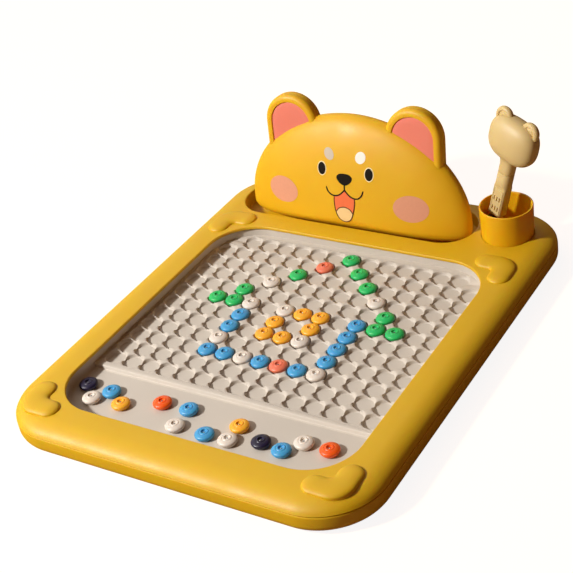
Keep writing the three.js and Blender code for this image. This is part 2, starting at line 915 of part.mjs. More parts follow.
// A ball squashed to three half sizes, on the pen's own axis
function ball(halfX, halfY, halfZ, across, up, segments) {
  const sphere = new THREE.SphereGeometry(1, segments, Math.round(segments * ballRingShare));
  sphere.rotateX(Math.PI / 2);
  sphere.scale(halfX, halfY, halfZ);
  sphere.translate(across, 0, up);
  return solid(sphere);
}

// The pen's head: a neck with a pin below, a squared-off pillow and two small ears
function penHead() {
  const neck = penBar(shankWidth, shankDepth, shankCorner, handleLength, penHeadCentre);
  const pin = bar(pinRadius, handleLength - pinLength, handleLength + overrun, smallSides);
  const outline = [];
  for (let i = 0; i < penHeadSides; i++) {
    addOval(outline, (2 * i) / penHeadSides, penHeadHalfWidth, penHeadPower, penHeadHalfHeight);
  }
  const skull = swelled(outline, penHeadHalfDepth, penDepthPower, penRingShares, penHeadCentre);
  let head = skull.add(neck).add(pin);
  for (const side of [-1, 1]) {
    const up = penHeadCentre + penEarAbove;
    head = head.add(
      ball(penEarRadius, penEarHalfDepth, penEarRadius, side * penEarAcross, up, penEarSides),
    );
  }
  return head;
}

// A bead, seated in the pit at a column and row
function bead(column, row) {
  const low = plateFloorHeight + gap;
  return turned(
    [
      [0, low],
      [beadBaseRadius, low],
      [beadFlangeRadius, low + beadFlangeStart],
      [beadFlangeRadius, low + beadFlangeEnd],
      [beadDomeRadius, low + beadHeight],
      [0, low + beadHeight - beadDishDepth],
    ],
    beadSides, ...pitPlace(column, row), Math.PI / beadSides,
  );
}

boardGroup.add(piece("lower_case", lowerCase(), "yellowPlastic"));
boardGroup.add(piece("top_frame", topFrame(), "yellowPlastic"));
boardGroup.add(piece("bead_plate", beadPlate(), "creamPlastic"));
boardGroup.add(piece("magnet_sheet", magnetSheet(), "magnetSheet"));
screwPlaces.forEach(([x, y], i) => {
  boardGroup.add(piece(`case_screw_${i + 1}`, caseScrew(x, y), "screwSteel"));
});
footPlaces().forEach(([x, y], i) => {
  boardGroup.add(piece(`rubber_foot_${i + 1}`, rubberFoot(x, y), "darkRubber"));
});
const sideNames = new Map([[-1, "left"], [1, "right"]]);
for (const [sideX, nameX] of sideNames) {
  boardGroup.add(piece(`corner_pad_front_${nameX}`, cornerPad(sideX, -1), "yellowPlastic"));
  boardGroup.add(piece(`corner_pad_rear_${nameX}`, cornerPad(sideX, 1), "yellowPlastic"));
  headGroup.add(piece(`ear_insert_${nameX}`, earInsert(sideX), "pinkPlastic"));
}
headGroup.add(piece("head_front_shell", headShell(-1), "yellowPlastic"));
headGroup.add(piece("head_rear_shell", headShell(1), "yellowPlastic"));
boardGroup.add(headGroup);

boardGroup.add(piece("pen_cup", penCup(), "yellowPlastic"));
const penGroup = new THREE.Group();
penGroup.position.copy(penFoot());
penGroup.rotation.set(0, radians(penLean), radians(penTurn), "YXZ");
penGroup.add(piece("pen_handle", penHandle(), "penPlastic"));
penGroup.add(piece("pen_head", penHead(), "penPlastic"));
penGroup.add(piece("pen_magnet", penMagnet(), "magnetMetal"));
boardGroup.add(penGroup);

for (const [colour, places] of Object.entries(picture)) {
  places.forEach(([column, row], i) => {
    boardGroup.add(piece(`bead_${colour}_${i + 1}`, bead(column, row), colour));
  });
}

export default boardGroup;
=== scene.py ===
"""A toy bead board in fine meshes and moulded materials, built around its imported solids."""

import math
from types import SimpleNamespace

import bmesh
import bpy
from bpy.props import FloatProperty, FloatVectorProperty, IntProperty, PointerProperty
from mathutils import Matrix, Vector
from mathutils.geometry import tessellate_polygon


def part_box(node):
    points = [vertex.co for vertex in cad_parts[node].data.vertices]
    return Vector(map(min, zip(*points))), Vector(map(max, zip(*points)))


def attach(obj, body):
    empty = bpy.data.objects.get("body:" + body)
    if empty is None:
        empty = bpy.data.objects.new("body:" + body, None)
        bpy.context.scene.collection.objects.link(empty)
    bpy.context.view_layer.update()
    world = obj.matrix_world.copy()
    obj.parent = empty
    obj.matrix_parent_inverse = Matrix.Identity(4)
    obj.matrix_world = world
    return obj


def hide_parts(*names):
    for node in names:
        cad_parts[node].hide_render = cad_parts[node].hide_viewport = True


bl_info = {
    "name": "Bead Board",
    "version": (1, 0, 0),
    "blender": (4, 5, 0),
    "location": "View3D > Sidebar > Bead Board",
    "description": "Builds a toy bead board with its plate, beads, animal head and magnetic pen",
    "category": "Add Mesh",
}

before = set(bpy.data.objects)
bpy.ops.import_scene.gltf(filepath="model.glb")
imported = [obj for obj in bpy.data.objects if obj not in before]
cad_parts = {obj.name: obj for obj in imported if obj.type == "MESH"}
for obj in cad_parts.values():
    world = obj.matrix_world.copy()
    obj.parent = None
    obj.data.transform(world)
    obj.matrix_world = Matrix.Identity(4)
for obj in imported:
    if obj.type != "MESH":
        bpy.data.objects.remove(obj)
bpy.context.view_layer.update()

MM = 0.001

# The gap between fitted pieces, the least step between two faces, and how far a cutter reaches past a face
PLAY = 0.3 * MM
HAIR = 0.02 * MM
OVERRUN = 1 * MM

CASE_LOW, CASE_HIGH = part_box("lower_case")


def linear(code):
    """A colour's sRGB hex value as linear red, green, blue and alpha."""
    parts = [((code >> shift) & 255) / 255 for shift in (16, 8, 0)]
    bent = [c / 12.92 if c <= 0.04045 else ((c + 0.055) / 1.055) ** 2.4 for c in parts]
    return (*bent, 1.0)


def length(name, millimetres, description):
    """A length that a user may change, shown in the scene's unit."""
    return FloatProperty(
        name=name, description=description, default=millimetres * MM,
        subtype="DISTANCE", unit="LENGTH", precision=5,
    )


def tint(name, code, description):
    """A colour that a user may change, from its sRGB hex value."""
    return FloatVectorProperty(
        name=name, description=description, default=linear(code),
        size=4, min=0.0, max=1.0, subtype="COLOR",
    )


# Sizes and colours


class BeadBoardCase(bpy.types.PropertyGroup):
    """Sizes of the case and of the places in its top."""

    width: length("Width", (CASE_HIGH.x - CASE_LOW.x) / MM, "Width of the whole case")
    depth: length("Length", (CASE_HIGH.y - CASE_LOW.y) / MM, "Length of the whole case")
    height: length("Height", 20.5, "Top of the case above the table")
    corner: length("Corner radius", 40.5, "Radius of the case's corners seen from above")
    stand: length("Stand", 1.0, "How high the feet hold the case")
    wall: length("Wall", 2.4, "Thickness of the case's walls")
    edge_width: length("Upper edge width", 14.7, "How far the soft upper edge reaches in")
    edge_drop: length("Upper edge drop", 8.0, "How far the soft upper edge falls")
    toe_width: length("Lower edge width", 7.0, "How far the lower edge reaches in")
    toe_rise: length("Lower edge rise", 6.0, "How high the lower edge rises")
    parting: length("Parting height", 13.8, "Height of the line between the case's halves")
    parting_gap: length("Parting gap", 0.5, "Width of that line")
    parting_edge: length("Parting edge", 0.25, "Rounding of the edges at that line")
    tongue: length("Tongue", 0.9, "Step and height of the tongue inside that line")
    side_border: length("Side border", 25.2, "Frame beside the opening")
    front_border: length("Front border", 26.65, "Frame in front of the opening")
    rear_border: length("Rear border", 77.85, "Frame behind the opening")
    opening_corner: length("Opening radius", 32.0, "Radius of the opening's corners")
    lip: length("Lip", 2.2, "Thickness of the frame round the opening")
    lip_rounding: length("Lip rounding", 0.9, "Rounding of the opening's edge")
    recess_width: length("Recess width", 183.7, "Width of the recess for the head")
    recess_length: length("Recess length", 45.5, "Front to back of the recess")
    recess_across: length("Recess centre", -20.65, "Middle of the recess from the case's middle")
    recess_behind: length("Recess behind opening", 17.0, "From the opening to the recess")
    recess_corner: length("Recess radius", 21.6, "Radius of the recess's corners")
    recess_depth: length("Recess depth", 10.0, "Depth of the recess")
    recess_edge: length("Recess edge", 0.9, "Rounding of the recess's edge")


class BeadBoardFixings(bpy.types.PropertyGroup):
    """Sizes and places of the screws and the feet."""

    front_inset: length("Front screw inset", 20.3, "From the case's front and side to a front screw")
    side_inset: length("Rear screw inset", 11.5, "From the case's side to a rear screw")
    behind: length("Behind opening", 14.0, "From the opening to a rear screw")
    head: length("Screw head radius", 2.8, "Radius of a screw's head")
    head_height: length("Screw head height", 2.0, "Height of a screw's head")
    shank: length("Shank radius", 1.5, "Radius of a screw's shank")
    reach: length("Screw length", 13.0, "Length of a screw with its head")
    sunk: length("Screw height", 2.1, "Height of a screw's face above the table")
    boss: length("Boss radius", 5.0, "Radius of the boss round a screw")
    boss_top: length("Boss top", 9.7, "Height of that boss")
    mouth: length("Mouth", 0.2, "How far the bevel of a pocket reaches up into the case's bottom")
    foot_inset: length("Foot inset", 32.0, "From the case's sides to a foot")
    foot: length("Foot radius", 7.0, "Radius of a foot")
    foot_height: length("Foot height", 1.8, "Height of a foot")


class BeadBoardPlate(bpy.types.PropertyGroup):
    """Sizes of the bead plate."""

    pitch: length("Pitch", 13.5, "From one pit to the next")
    columns: IntProperty(name="Columns", description="Pits from left to right", default=15, min=1)
    rows: IntProperty(name="Rows", description="Pits from front to back", default=12, min=1)
    floor: length("Floor", 10.0, "Height of the tray's floor")
    pit_depth: length("Pit depth", 2.5, "Depth of a pit below the field's top")
    pit_floor: length("Pit floor radius", 6.05, "Radius of a pit's flat floor")
    pit_top: length("Pit top radius", 7.3, "Radius at which a pit's rounded edge ends")
    pit_base: length("Pit base", 0.05, "Height of a pit's floor above the tray's floor")
    underside: length("Underside", 8.3, "Height of the plate's underside")
    rim: length("Rim", 1.6, "Thickness of the rim")
    rim_setback: length("Rim setback", 1.1, "How far the rim stands back under the frame's lip")
    rim_gap: length("Rim gap", 0.6, "Gap between the rim and the frame's lip")
    rim_fillet: length("Rim fillet", 2.0, "Rounding between the rim and the tray's floor")
    field_middle: length("Field middle", -0.6, "Middle of the field of pits")
    field_front: length("Field front", -83.8, "Front edge of the field's top")
    step_slope: length("Step slope", 2.5, "How far the step in front of the field slopes")
    apron: length("Apron", 1.6, "Flat strip in front of the step")
    skirt: length("Skirt", 0.8, "How deep the field reaches below the tray's floor")


class BeadBoardPads(bpy.types.PropertyGroup):
    """Sizes of the four corner pads."""

    arm: length("Arm", 30.0, "Length of each arm from the outer corner")
    breadth: length("Arm width", 15.2, "Width of each arm")
    outer: length("Outer radius", 14.0, "Radius of the outer corner")
    inner: length("Inner radius", 3.5, "Radius between the two arms")
    rise: length("Rise", 2.6, "Height above the frame's top")
    crease: length("Crease", 0.2, "How deep the pad's edge dips below the frame's top")
    swell: FloatProperty(name="Swell", description="How square the pad's edge is", default=2.3)
    bend: length("Bend", 5.5, "Where the ridges of the arms aim, from the outer corner")
    root: length("Root", 4.0, "How far the pad reaches below the frame's top")
    side_inset: length("Side inset", 11.5, "From the case's side to the pad")
    front_inset: length("Front inset", 12.0, "From the case's front to the front pads")
    behind: length("Behind opening", 12.6, "From the opening to the far side of the rear pads")


class BeadBoardHead(bpy.types.PropertyGroup):
    """Sizes of the head."""

    half_width: length("Half width", 87.7, "Half the width of the head")
    across: length("Centre", -17.3, "Middle of the head from the case's middle")
    behind: length("Behind recess front", 19.45, "From the recess's front edge to the head's middle plane")
    lean: FloatProperty(name="Lean", description="How far the head leans back",
                        default=math.radians(6), subtype="ANGLE", unit="ROTATION")
    widest: length("Widest height", 4.7, "Height of the head's widest line above the case")
    upper: length("Upper height", 70.86, "From the widest line to the crown")
    lower: length("Lower height", 13.6, "From the widest line to the underside")
    half_depth: length("Half depth", 19.5, "Half the thickness of the head")
    upper_power: FloatProperty(name="Upper power", description="Fullness of the upper outline", default=1.964)
    lower_power: FloatProperty(name="Lower power", description="Fullness of the lower outline", default=4.84)
    depth_power: FloatProperty(name="Depth power", description="Fullness from front to back", default=2.089)
    seam: length("Seam", 0.3, "Width of the line between the two shells")
    ear_radius: length("Ear radius", 21.0, "Radius of an ear")
    ear_across: length("Ear across", 47.9, "From the head's middle to an ear's centre")
    ear_above: length("Ear above", 65.0, "Height of an ear's centre above the case")
    ear_straight: length("Ear straight", 16.0, "Straight part of an ear's sides, below its centre")
    ear_half_depth: length("Ear half depth", 5.5, "Half the thickness of an ear")
    ear_rounding: length("Ear rounding", 3.3, "Rounding of an ear's edge")
    dish_radius: length("Dish radius", 15.65, "Radius of the dish in an ear")
    dish_depth: length("Dish depth", 2.0, "Depth of the dish in an ear")
    insert_radius: length("Insert radius", 15.58, "Radius of the ear's insert")
    insert_thickness: length("Insert thickness", 1.3, "Thickness of the ear's insert")
    foot_half_width: length("Foot half width", 50.0, "Half the width of the head's foot")
    foot_half_depth: length("Foot half depth", 8.0, "Half the depth of the head's foot")
    foot_low: length("Foot low", 8.9, "How deep the foot reaches below the case's top")
    foot_high: length("Foot high", 5.0, "How deep the foot begins below the case's top")


class BeadBoardPen(bpy.types.PropertyGroup):
    """Sizes of the pen cup and the pen."""

    cup_top: length("Cup top radius", 18.3, "Outer radius of the cup's rim")
    cup_bottom: length("Cup bottom radius", 17.7, "Outer radius of the cup's bottom")
    cup_rim: length("Cup rim", 42.4, "Height of the cup's rim above the table")
    cup_low: length("Cup bottom", 17.6, "Height of the cup's underside")
    cup_floor: length("Cup floor", 20.8, "Height of the cup's floor")
    cup_wall: length("Cup wall", 1.3, "Thickness of the cup's wall")
    cup_x: length("Cup across", 93.9, "The cup's centre from the case's middle")
    cup_y: length("Cup along", 126.9, "The cup's centre from the case's middle")
    seat_gap: length("Seat gap", 0.4, "Gap round the cup in its seat")
    seat_floor: length("Seat floor", 17.3, "Height of the seat's floor")
    cup_foot: length("Cup foot", 2.0, "Thickness of the cup's floor, and width of the ring under it")
    socket_radius: length("Socket radius", 4.51, "Bore of the socket on the cup's floor")
    socket_wall: length("Socket wall", 1.3, "Thickness of the socket's wall")
    socket_height: length("Socket height", 11.2, "Height of that socket")
    foot_x: length("Pen across", 86.4, "The grip's end from the case's middle")
    foot_y: length("Pen along", 128.0, "The grip's end from the case's middle")
    foot_z: length("Pen height", 34.0, "Height of the grip's end")
    lean: FloatProperty(name="Lean", description="How far the pen leans to the right",
                        default=math.radians(15.2), subtype="ANGLE", unit="ROTATION")
    turn: FloatProperty(name="Turn", description="How far the pen is turned on its own axis",
                        default=math.radians(-21), subtype="ANGLE", unit="ROTATION")
    grip_width: length("Grip width", 10.8, "Width of the flat grip")
    grip_depth: length("Grip depth", 7.8, "Thickness of the flat grip")
    grip_length: length("Grip length", 23.0, "Length of the flat grip")
    grip_corner: length("Grip corner", 1.6, "Rounding of the grip's long edges")
    shank_width: length("Shank width", 11.2, "Width of the shank")
    shank_depth: length("Shank depth", 9.4, "Thickness of the shank")
    shank_corner: length("Shank corner", 4.2, "Rounding of the shank's long edges")
    handle: length("Handle", 34.6, "Length of the handle up to the seam")
    skull_width: length("Head half width", 19.3, "Half the width of the pen's head")
    skull_height: length("Head half height", 15.6, "Half the height of the pen's head")
    skull_depth: length("Head half depth", 10.2, "Half the thickness of the pen's head")
    skull_up: length("Head centre", 59.7, "Height of the head's centre on the pen's axis")
    skull_power: FloatProperty(name="Head power", description="Fullness of its outline", default=2.65)
    skull_swell: FloatProperty(name="Head swell", description="Fullness from front to back", default=2.5)
    ear_radius: length("Ear radius", 6.95, "Radius of the pen's ears")
    ear_depth: length("Ear half depth", 2.3, "Half the thickness of the pen's ears")
    ear_across: length("Ear across", 11.3, "From the pen's axis to an ear")
    ear_up: length("Ear above", 12.3, "From the head's centre up to an ear")
    ear_rounding: length("Ear rounding", 2.1, "Rounding of an ear's edge")
    slot_half: length("Slot half width", 0.55, "Half the width of a slot in the grip")
    slot_reach: length("Slot half length", 1.8, "Half the length of a slot")
    slot_depth: length("Slot depth", 1.3, "Depth of a slot")
    slot_pitch: length("Slot pitch", 2.3, "From one slot to the next")
    pin_radius: length("Pin radius", 2.0, "Radius of the magnet's stem and of the pin in the handle's top")
    tip_radius: length("Tip radius", 2.6, "Radius of the magnet's tip")


class BeadBoardBeads(bpy.types.PropertyGroup):
    """Sizes of a bead."""

    base: length("Base radius", 5.05, "Radius of the base")
    flange: length("Flange radius", 6.13, "Radius of the flange")
    flange_low: length("Flange low", 1.8, "Height of the flange's lower edge")
    flange_high: length("Flange high", 3.0, "Height of the flange's upper edge")
    shoulder: length("Shoulder radius", 5.0, "Radius at which the dome ends")
    groove: length("Groove radius", 3.1, "Radius of the fine groove round the crown")
    crown: length("Crown radius", 2.0, "Radius of the crown's crest")
    height: length("Height", 4.5, "Height of the whole bead")
    dish: length("Dish", 1.0, "Depth of the dimple in the crown")
    centre: length("Centre radius", 0.55, "Radius of the steel centre's end")
    lift: length("Lift", 0.3, "How far a seated bead stands above the pit's floor")


class BeadBoardTints(bpy.types.PropertyGroup):
    """Colours of the mouldings, prints and metals."""

    case: tint("Case", 0xD6AA0A, "Yellow of the case and pads")
    head: tint("Head", 0xE1AD06, "Yellow of the head and cup")
    plate: tint("Plate", 0xC6BDB1, "Cream of the bead plate")
    pen: tint("Pen", 0xD4BA80, "Pale cream of the pen")
    ear: tint("Ear", 0xE67F6B, "Salmon pink of the ear inserts")
    green: tint("Green", 0x20B960, "Green beads")
    coral: tint("Coral", 0xE67658, "Coral beads")
    white: tint("White", 0xDDD2C6, "White beads")
    blue: tint("Blue", 0x419CD0, "Blue beads")
    orange: tint("Orange", 0xF6AE2A, "Orange beads")
    red: tint("Red", 0xEE5A02, "Red-orange beads")
    navy: tint("Navy", 0x160E30, "Navy beads")
    black: tint("Black ink", 0x060302, "Eyes, nose and lines of the face")
    pale: tint("Pale ink", 0xF6E3B4, "Thin outline of the eyes")
    brow: tint("Brow ink", 0xF3F0E6, "Right brow")
    brow_grey: tint("Grey brow ink", 0xCBBDAC, "Left brow")
    cheek: tint("Cheek ink", 0xDC9A7C, "Cheeks")
    mouth: tint("Mouth ink", 0xEE7446, "Mouth")
    tongue: tint("Tongue ink", 0xEFCB8E, "Tongue")
    line: tint("Line ink", 0x4A2410, "Outline of the mouth")
    steel: tint("Steel", 0xA9ABAE, "Screws and the beads' steel centres")
    magnet: tint("Magnet", 0x55524F, "The pen's magnet")
    rubber: tint("Rubber", 0x2C2A28, "Feet")
    sheet: tint("Magnetic sheet", 0x3A3634, "Sheet under the plate")
    backdrop: tint("Backdrop", 0xFFFFFF, "Floor and backdrop")
    ground: tint("Ground", 0x9A7C58, "Light that the floor throws back")
    sky_left: tint("Sky, left", 0xFFE2C0, "Sky on the board's left")
    sky_right: tint("Sky, right", 0xFF8C3C, "Sky on the board's right")


GROUPS = {
    "bead_board_case": BeadBoardCase,
    "bead_board_fixings": BeadBoardFixings,
    "bead_board_plate": BeadBoardPlate,
    "bead_board_pads": BeadBoardPads,
    "bead_board_head": BeadBoardHead,
    "bead_board_pen": BeadBoardPen,
    "bead_board_beads": BeadBoardBeads,
    "bead_board_tints": BeadBoardTints,
}

# Where each seated bead is: column from the left and row from the front, from 0
PICTURE = {
    "green": [(5, 9), (7, 11), (8, 10), (9, 9), (11, 7), (11, 6), (12, 6), (3, 6), (2, 6), (3, 7)],
    "coral": [(6, 10), (8, 2)],
    "white": [(10, 8), (10, 2), (6, 2), (4, 3), (4, 6), (4, 8), (6, 6), (8, 4)],
    "blue": [(10, 6), (10, 5), (10, 4), (10, 3), (9, 2), (7, 2), (5, 2), (4, 2), (4, 4), (4, 5)],
    "orange": [(7, 6), (8, 6), (6, 5), (6, 4), (7, 4), (8, 5)],
}

# Where each loose bead lies in the tray: colour, millimetres across and along
LOOSE = [
    ("navy", -94.3, -104.9), ("white", -83.5, -115.7), ("blue", -74.8, -106.1), ("orange", -61.7, -114.1),
    ("red", -36.8, -104.0), ("blue", -17.1, -103.7), ("white", -16.6, -119.6), ("blue", 5.2, -119.9),
    ("white", 21.3, -119.6), ("orange", 21.3, -106.2), ("navy", 41.1, -113.9), ("blue", 56.3, -116.1),
    ("white", 65.4, -105.7), ("red", 82.6, -105.8),
]

# How finely curves are drawn: steps along each kind of curve, and sides of round solids
CORNER_STEPS = 24
EDGE_STEPS = 16
ROUND_SIDES = 64
SMALL_SIDES = 40
TILE_SIDES = 32
ARC_STEPS = 16
PAD_STEPS = 14
RIDGE_STEPS = 120
EAR_STEPS = 10
PEN_EAR_STEPS = 6

# The distance in metres under which two points count as one, and the angle past which an edge stays sharp
TINY = 1e-7
SHARP = math.radians(38)


def sizes(name):
    """One group of sizes or colours of this scene."""
    return getattr(bpy.context.scene, "bead_board_" + name)


def places():
    """Heights and places that follow from the sizes."""
    case, plate, head = sizes("case"), sizes("plate"), sizes("head")
    rear = case.depth / 2 - case.rear_border
    front = -case.depth / 2 + case.front_border
    recess_front = rear + case.recess_behind
    return SimpleNamespace(
        opening_half_width=case.width / 2 - case.side_border,
        opening_half_length=(rear - front) / 2,
        opening_middle=(rear + front) / 2,
        opening_rear=rear,
        edge_start=case.height - case.edge_drop,
        lip_underside=case.height - case.lip,
        pit_top=plate.floor + plate.pit_depth,
        recess_middle=recess_front + case.recess_length / 2,
        recess_floor=case.height - case.recess_depth,
        head=Matrix.Translation((head.across, recess_front + head.behind, case.height))
        @ Matrix.Rotation(-head.lean, 4, "X"),
    )


# Materials


def per_mm(period):
    """The scale at which a pattern repeats about every so many millimetres."""
    return 1 / (period * MM)


def add(tree, kind, inputs=None, **settings):
    """Adds one node with its settings; an input takes a value or another node's output."""
    node = tree.nodes.new(kind)
    for name, value in settings.items():
        setattr(node, name, value)
    for name, value in (inputs or {}).items():
        if isinstance(value, bpy.types.NodeSocket):
            tree.links.new(value, node.inputs[name])
        else:
            node.inputs[name].default_value = value
    return node


def cleared(owner):
    """The node tree of a material or a world, emptied."""
    owner.use_nodes = True
    owner.node_tree.nodes.clear()
    return owner.node_tree


def started(name, **uniform):
    """An empty material with its shader, whose uniform values sit on the shader's own sockets."""
    material = bpy.data.materials.new(name)
    tree = cleared(material)
    shader = add(tree, "ShaderNodeBsdfPrincipled", {k.replace("_", " "): v for k, v in uniform.items()})
    add(tree, "ShaderNodeOutputMaterial", {"Surface": shader.outputs[0]})
    place = add(tree, "ShaderNodeTexCoord").outputs["Object"]
    return material, tree, shader, place


def dressed(tree, shader, tone, gloss, relief):
    """Leads a material's colour, roughness and relief into its shader."""
    tree.links.new(tone.outputs[2], shader.inputs["Base Color"])
    tree.links.new(gloss.outputs[0], shader.inputs["Roughness"])
    tree.links.new(relief.outputs[0], shader.inputs["Normal"])


def shade(colour, share):
    """A colour made lighter or darker by a share."""
    return (*[min(1.0, c * share) for c in colour[:3]], 1.0)


def moulded_abs(name, colour, roughness, grain=0.5, drift=0.06, texture=0.05, share=0.15, reach=1.5):
    """ABS, injection moulded: a satin skin with faint flow shades, a fine tool grain and soft sinks.

    The pigmented plastic lets a little light in, deepest for the colours it absorbs least, so that its
    shaded edges glow. The tool's real grain is too fine for the render, so it is drawn coarser than it is.
    """
    pure = [(c / max(colour[:3])) ** 2 for c in colour[:3]]
    material, tree, shader, place = started(
        name, IOR=1.53, Subsurface_Weight=share, Subsurface_Radius=pure, Subsurface_Scale=reach * MM)
    flow, handled, fine, sinks = [
        add(tree, "ShaderNodeTexNoise", {"Vector": place, "Scale": per_mm(size), "Detail": detail}).outputs[0]
        for size, detail in ((55, 3.0), (14, 4.0), (grain, 2.0), (30, 1.0))
    ]
    tone = add(
        tree, "ShaderNodeMix",
        {0: flow, 6: shade(colour, 1 - drift), 7: shade(colour, 1 + drift)},
        data_type="RGBA",
    ).outputs[2]

    # Pointiness is a half on a flat face and more on an outer edge, where a painted highlight lightens the
    # plastic
    edge_highlight_share = add(
        tree, "ShaderNodeMapRange",
        {0: add(tree, "ShaderNodeNewGeometry").outputs["Pointiness"], 1: 0.52, 2: 0.6, 3: 0.0, 4: 0.35},
    ).outputs[0]
    # Painted highlight: outer edges are mixed towards a lighter copy of the colour
    edge_highlighted_tone = add(tree, "ShaderNodeMix", {0: edge_highlight_share, 6: tone, 7: shade(colour, 1.3)}, data_type="RGBA")
    gloss = add(
        tree, "ShaderNodeMapRange", {0: handled, 1: 0.3, 2: 0.7, 3: roughness - 0.05, 4: roughness + 0.06})
    skin_bump = add(tree, "ShaderNodeBump", {"Strength": texture * 4, "Distance": 0.05 * MM, "Height": fine})
    sink_bump = add(
        tree, "ShaderNodeBump",
        {"Strength": 0.25, "Distance": 0.3 * MM, "Height": sinks, "Normal": skin_bump.outputs[0]},
    )
    dressed(tree, shader, edge_highlighted_tone, gloss, sink_bump)
    return material


def pad_printed_ink(name, colour):
    """Ink, pad printed on ABS: flatter than the plastic round it, with a trace of the pad's mottle."""
    material, tree, shader, place = started(name, IOR=1.42)
    mottle = add(
        tree, "ShaderNodeTexNoise", {"Vector": place, "Scale": per_mm(1.6), "Detail": 3.0}).outputs[0]
    tone = add(
        tree, "ShaderNodeMix", {0: mottle, 6: shade(colour, 0.95), 7: shade(colour, 1.05)}, data_type="RGBA")
    gloss = add(tree, "ShaderNodeMapRange", {0: mottle, 1: 0.3, 2: 0.7, 3: 0.3, 4: 0.4})
    relief = add(tree, "ShaderNodeBump", {"Strength": 0.15, "Distance": 0.03 * MM, "Height": mottle})
    dressed(tree, shader, tone, gloss, relief)
    return material


def drawn_steel(name, colour, roughness, grain):
    """Steel, plated after forming: a grey metal whose roughness runs in fine rings from the tool."""
    material, tree, shader, place = started(name, Metallic=1.0)
    rings = add(
        tree, "ShaderNodeTexWave",
        {"Vector": place, "Scale": per_mm(grain) / 20, "Distortion": 3.0, "Detail": 3.0},
        wave_type="RINGS", rings_direction="Z",
    ).outputs["Fac"]
    cloud = add(tree, "ShaderNodeTexNoise", {"Vector": place, "Scale": per_mm(3), "Detail": 4.0}).outputs[0]
    tone = add(
        tree, "ShaderNodeMix", {0: cloud, 6: shade(colour, 0.85), 7: shade(colour, 1.12)}, data_type="RGBA")
    gloss = add(
        tree, "ShaderNodeMapRange", {0: rings, 1: 0.0, 2: 1.0, 3: roughness, 4: roughness + 0.14})
    relief = add(tree, "ShaderNodeBump", {"Strength": 0.2, "Distance": 0.02 * MM, "Height": rings})
    dressed(tree, shader, tone, gloss, relief)
    return material


def moulded_rubber(name, colour, roughness, grain):
    """Rubber, moulded: dull and dark, with a fine pebble that scatters the light."""
    material, tree, shader, place = started(name, IOR=1.52)
    pebble = add(
        tree, "ShaderNodeTexVoronoi", {"Vector": place, "Scale": per_mm(grain)}).outputs["Distance"]
    dust = add(tree, "ShaderNodeTexNoise", {"Vector": place, "Scale": per_mm(9), "Detail": 4.0}).outputs[0]
    tone = add(
        tree, "ShaderNodeMix", {0: dust, 6: shade(colour, 0.85), 7: shade(colour, 1.5)}, data_type="RGBA")
    gloss = add(
        tree, "ShaderNodeMapRange", {0: dust, 1: 0.3, 2: 0.7, 3: roughness - 0.06, 4: roughness + 0.06})
    relief = add(tree, "ShaderNodeBump", {"Strength": 0.5, "Distance": 0.08 * MM, "Height": pebble})
    dressed(tree, shader, tone, gloss, relief)
    return material


# The finished materials by name, once they are made
FINISHES = {}


def finishes():
    """Every material of the board, made once."""
    if FINISHES:
        return FINISHES
    tints = sizes("tints")
    made = FINISHES
    made["case"] = moulded_abs("Moulded ABS yellow", tints.case, 0.52, share=0.3)
    made["head"] = moulded_abs("Moulded ABS head yellow", tints.head, 0.52, texture=0.03, share=0.3)
    made["cup"] = moulded_abs("Moulded ABS cup yellow", tints.head, 0.44, share=0.6, reach=2.0)
    made["plate"] = moulded_abs("Moulded ABS cream", tints.plate, 0.55, grain=0.8, texture=0.09, share=0.0)
    made["pen"] = moulded_abs("Moulded ABS pale cream", tints.pen, 0.5)
    made["ear"] = moulded_abs("Moulded ABS salmon pink", tints.ear, 0.52, grain=0.4, texture=0.08)
    for colour in ("green", "coral", "white", "blue", "orange", "red", "navy"):
        made[colour] = moulded_abs(
            f"Moulded ABS bead {colour}", getattr(tints, colour), 0.38, grain=0.7, texture=0.02)
    for ink in ("black", "pale", "brow", "brow_grey", "cheek", "mouth", "tongue", "line"):
        made["ink " + ink] = pad_printed_ink(f"Pad printed ink {ink}", getattr(tints, ink))
    made["steel"] = drawn_steel("Zinc plated steel", tints.steel, 0.24, 0.5)
    made["magnet"] = drawn_steel("Nickel plated magnet", tints.magnet, 0.3, 0.6)
    made["rubber"] = moulded_rubber("Moulded rubber", tints.rubber, 0.85, 0.6)
    made["sheet"] = moulded_rubber("Calendered magnetic sheet", tints.sheet, 0.7, 1.2)
    return made


# Mesh making


def ring(half_x, half_y, radius, height, middle=(0.0, 0.0), steps=CORNER_STEPS):
    """A level ring: a rectangle with round corners, counter-clockwise seen from above."""
    points = []
    for quarter, (side_x, side_y) in enumerate(((1, -1), (1, 1), (-1, 1), (-1, -1))):
        for step in range(steps + 1):
            angle = math.pi / 2 * (quarter - 1 + step / steps)
            points.append(Vector((
                middle[0] + side_x * (half_x - radius) + radius * math.cos(angle),
                middle[1] + side_y * (half_y - radius) + radius * math.sin(angle),
                height,
            )))
    return points


def round_ring(radius, height, sides=ROUND_SIDES, middle=(0.0, 0.0)):
    """A level round ring, or the single point of a pole."""
    if radius == 0:
        return [Vector((*middle, height))]
    turns = [2 * math.pi * i / sides for i in range(sides)]
    x, y = middle
    return [Vector((x + radius * math.cos(a), y + radius * math.sin(a), height)) for a in turns]


def skin(bm, rings, loop=False):
    """Faces through rings of equal counts; a ring of one point is a pole, and open ends are capped."""
    rows = [[bm.verts.new(point) for point in points] for points in rings]
    pairs = list(zip(rows, rows[1:]))
    if loop:
        pairs.append((rows[-1], rows[0]))
    for low, high in pairs:
        count = max(len(low), len(high))
        for i in range(count):
            j = (i + 1) % count
            corners = [low[i % len(low)], low[j % len(low)], high[j % len(high)], high[i % len(high)]]
            corners = [v for k, v in enumerate(corners) if v is not corners[k - 1]]
            bm.faces.new(corners)
    if not loop:
        if len(rows[0]) > 2:
            bm.faces.new(rows[0][::-1])
        if len(rows[-1]) > 2:
            bm.faces.new(rows[-1])
    return bm


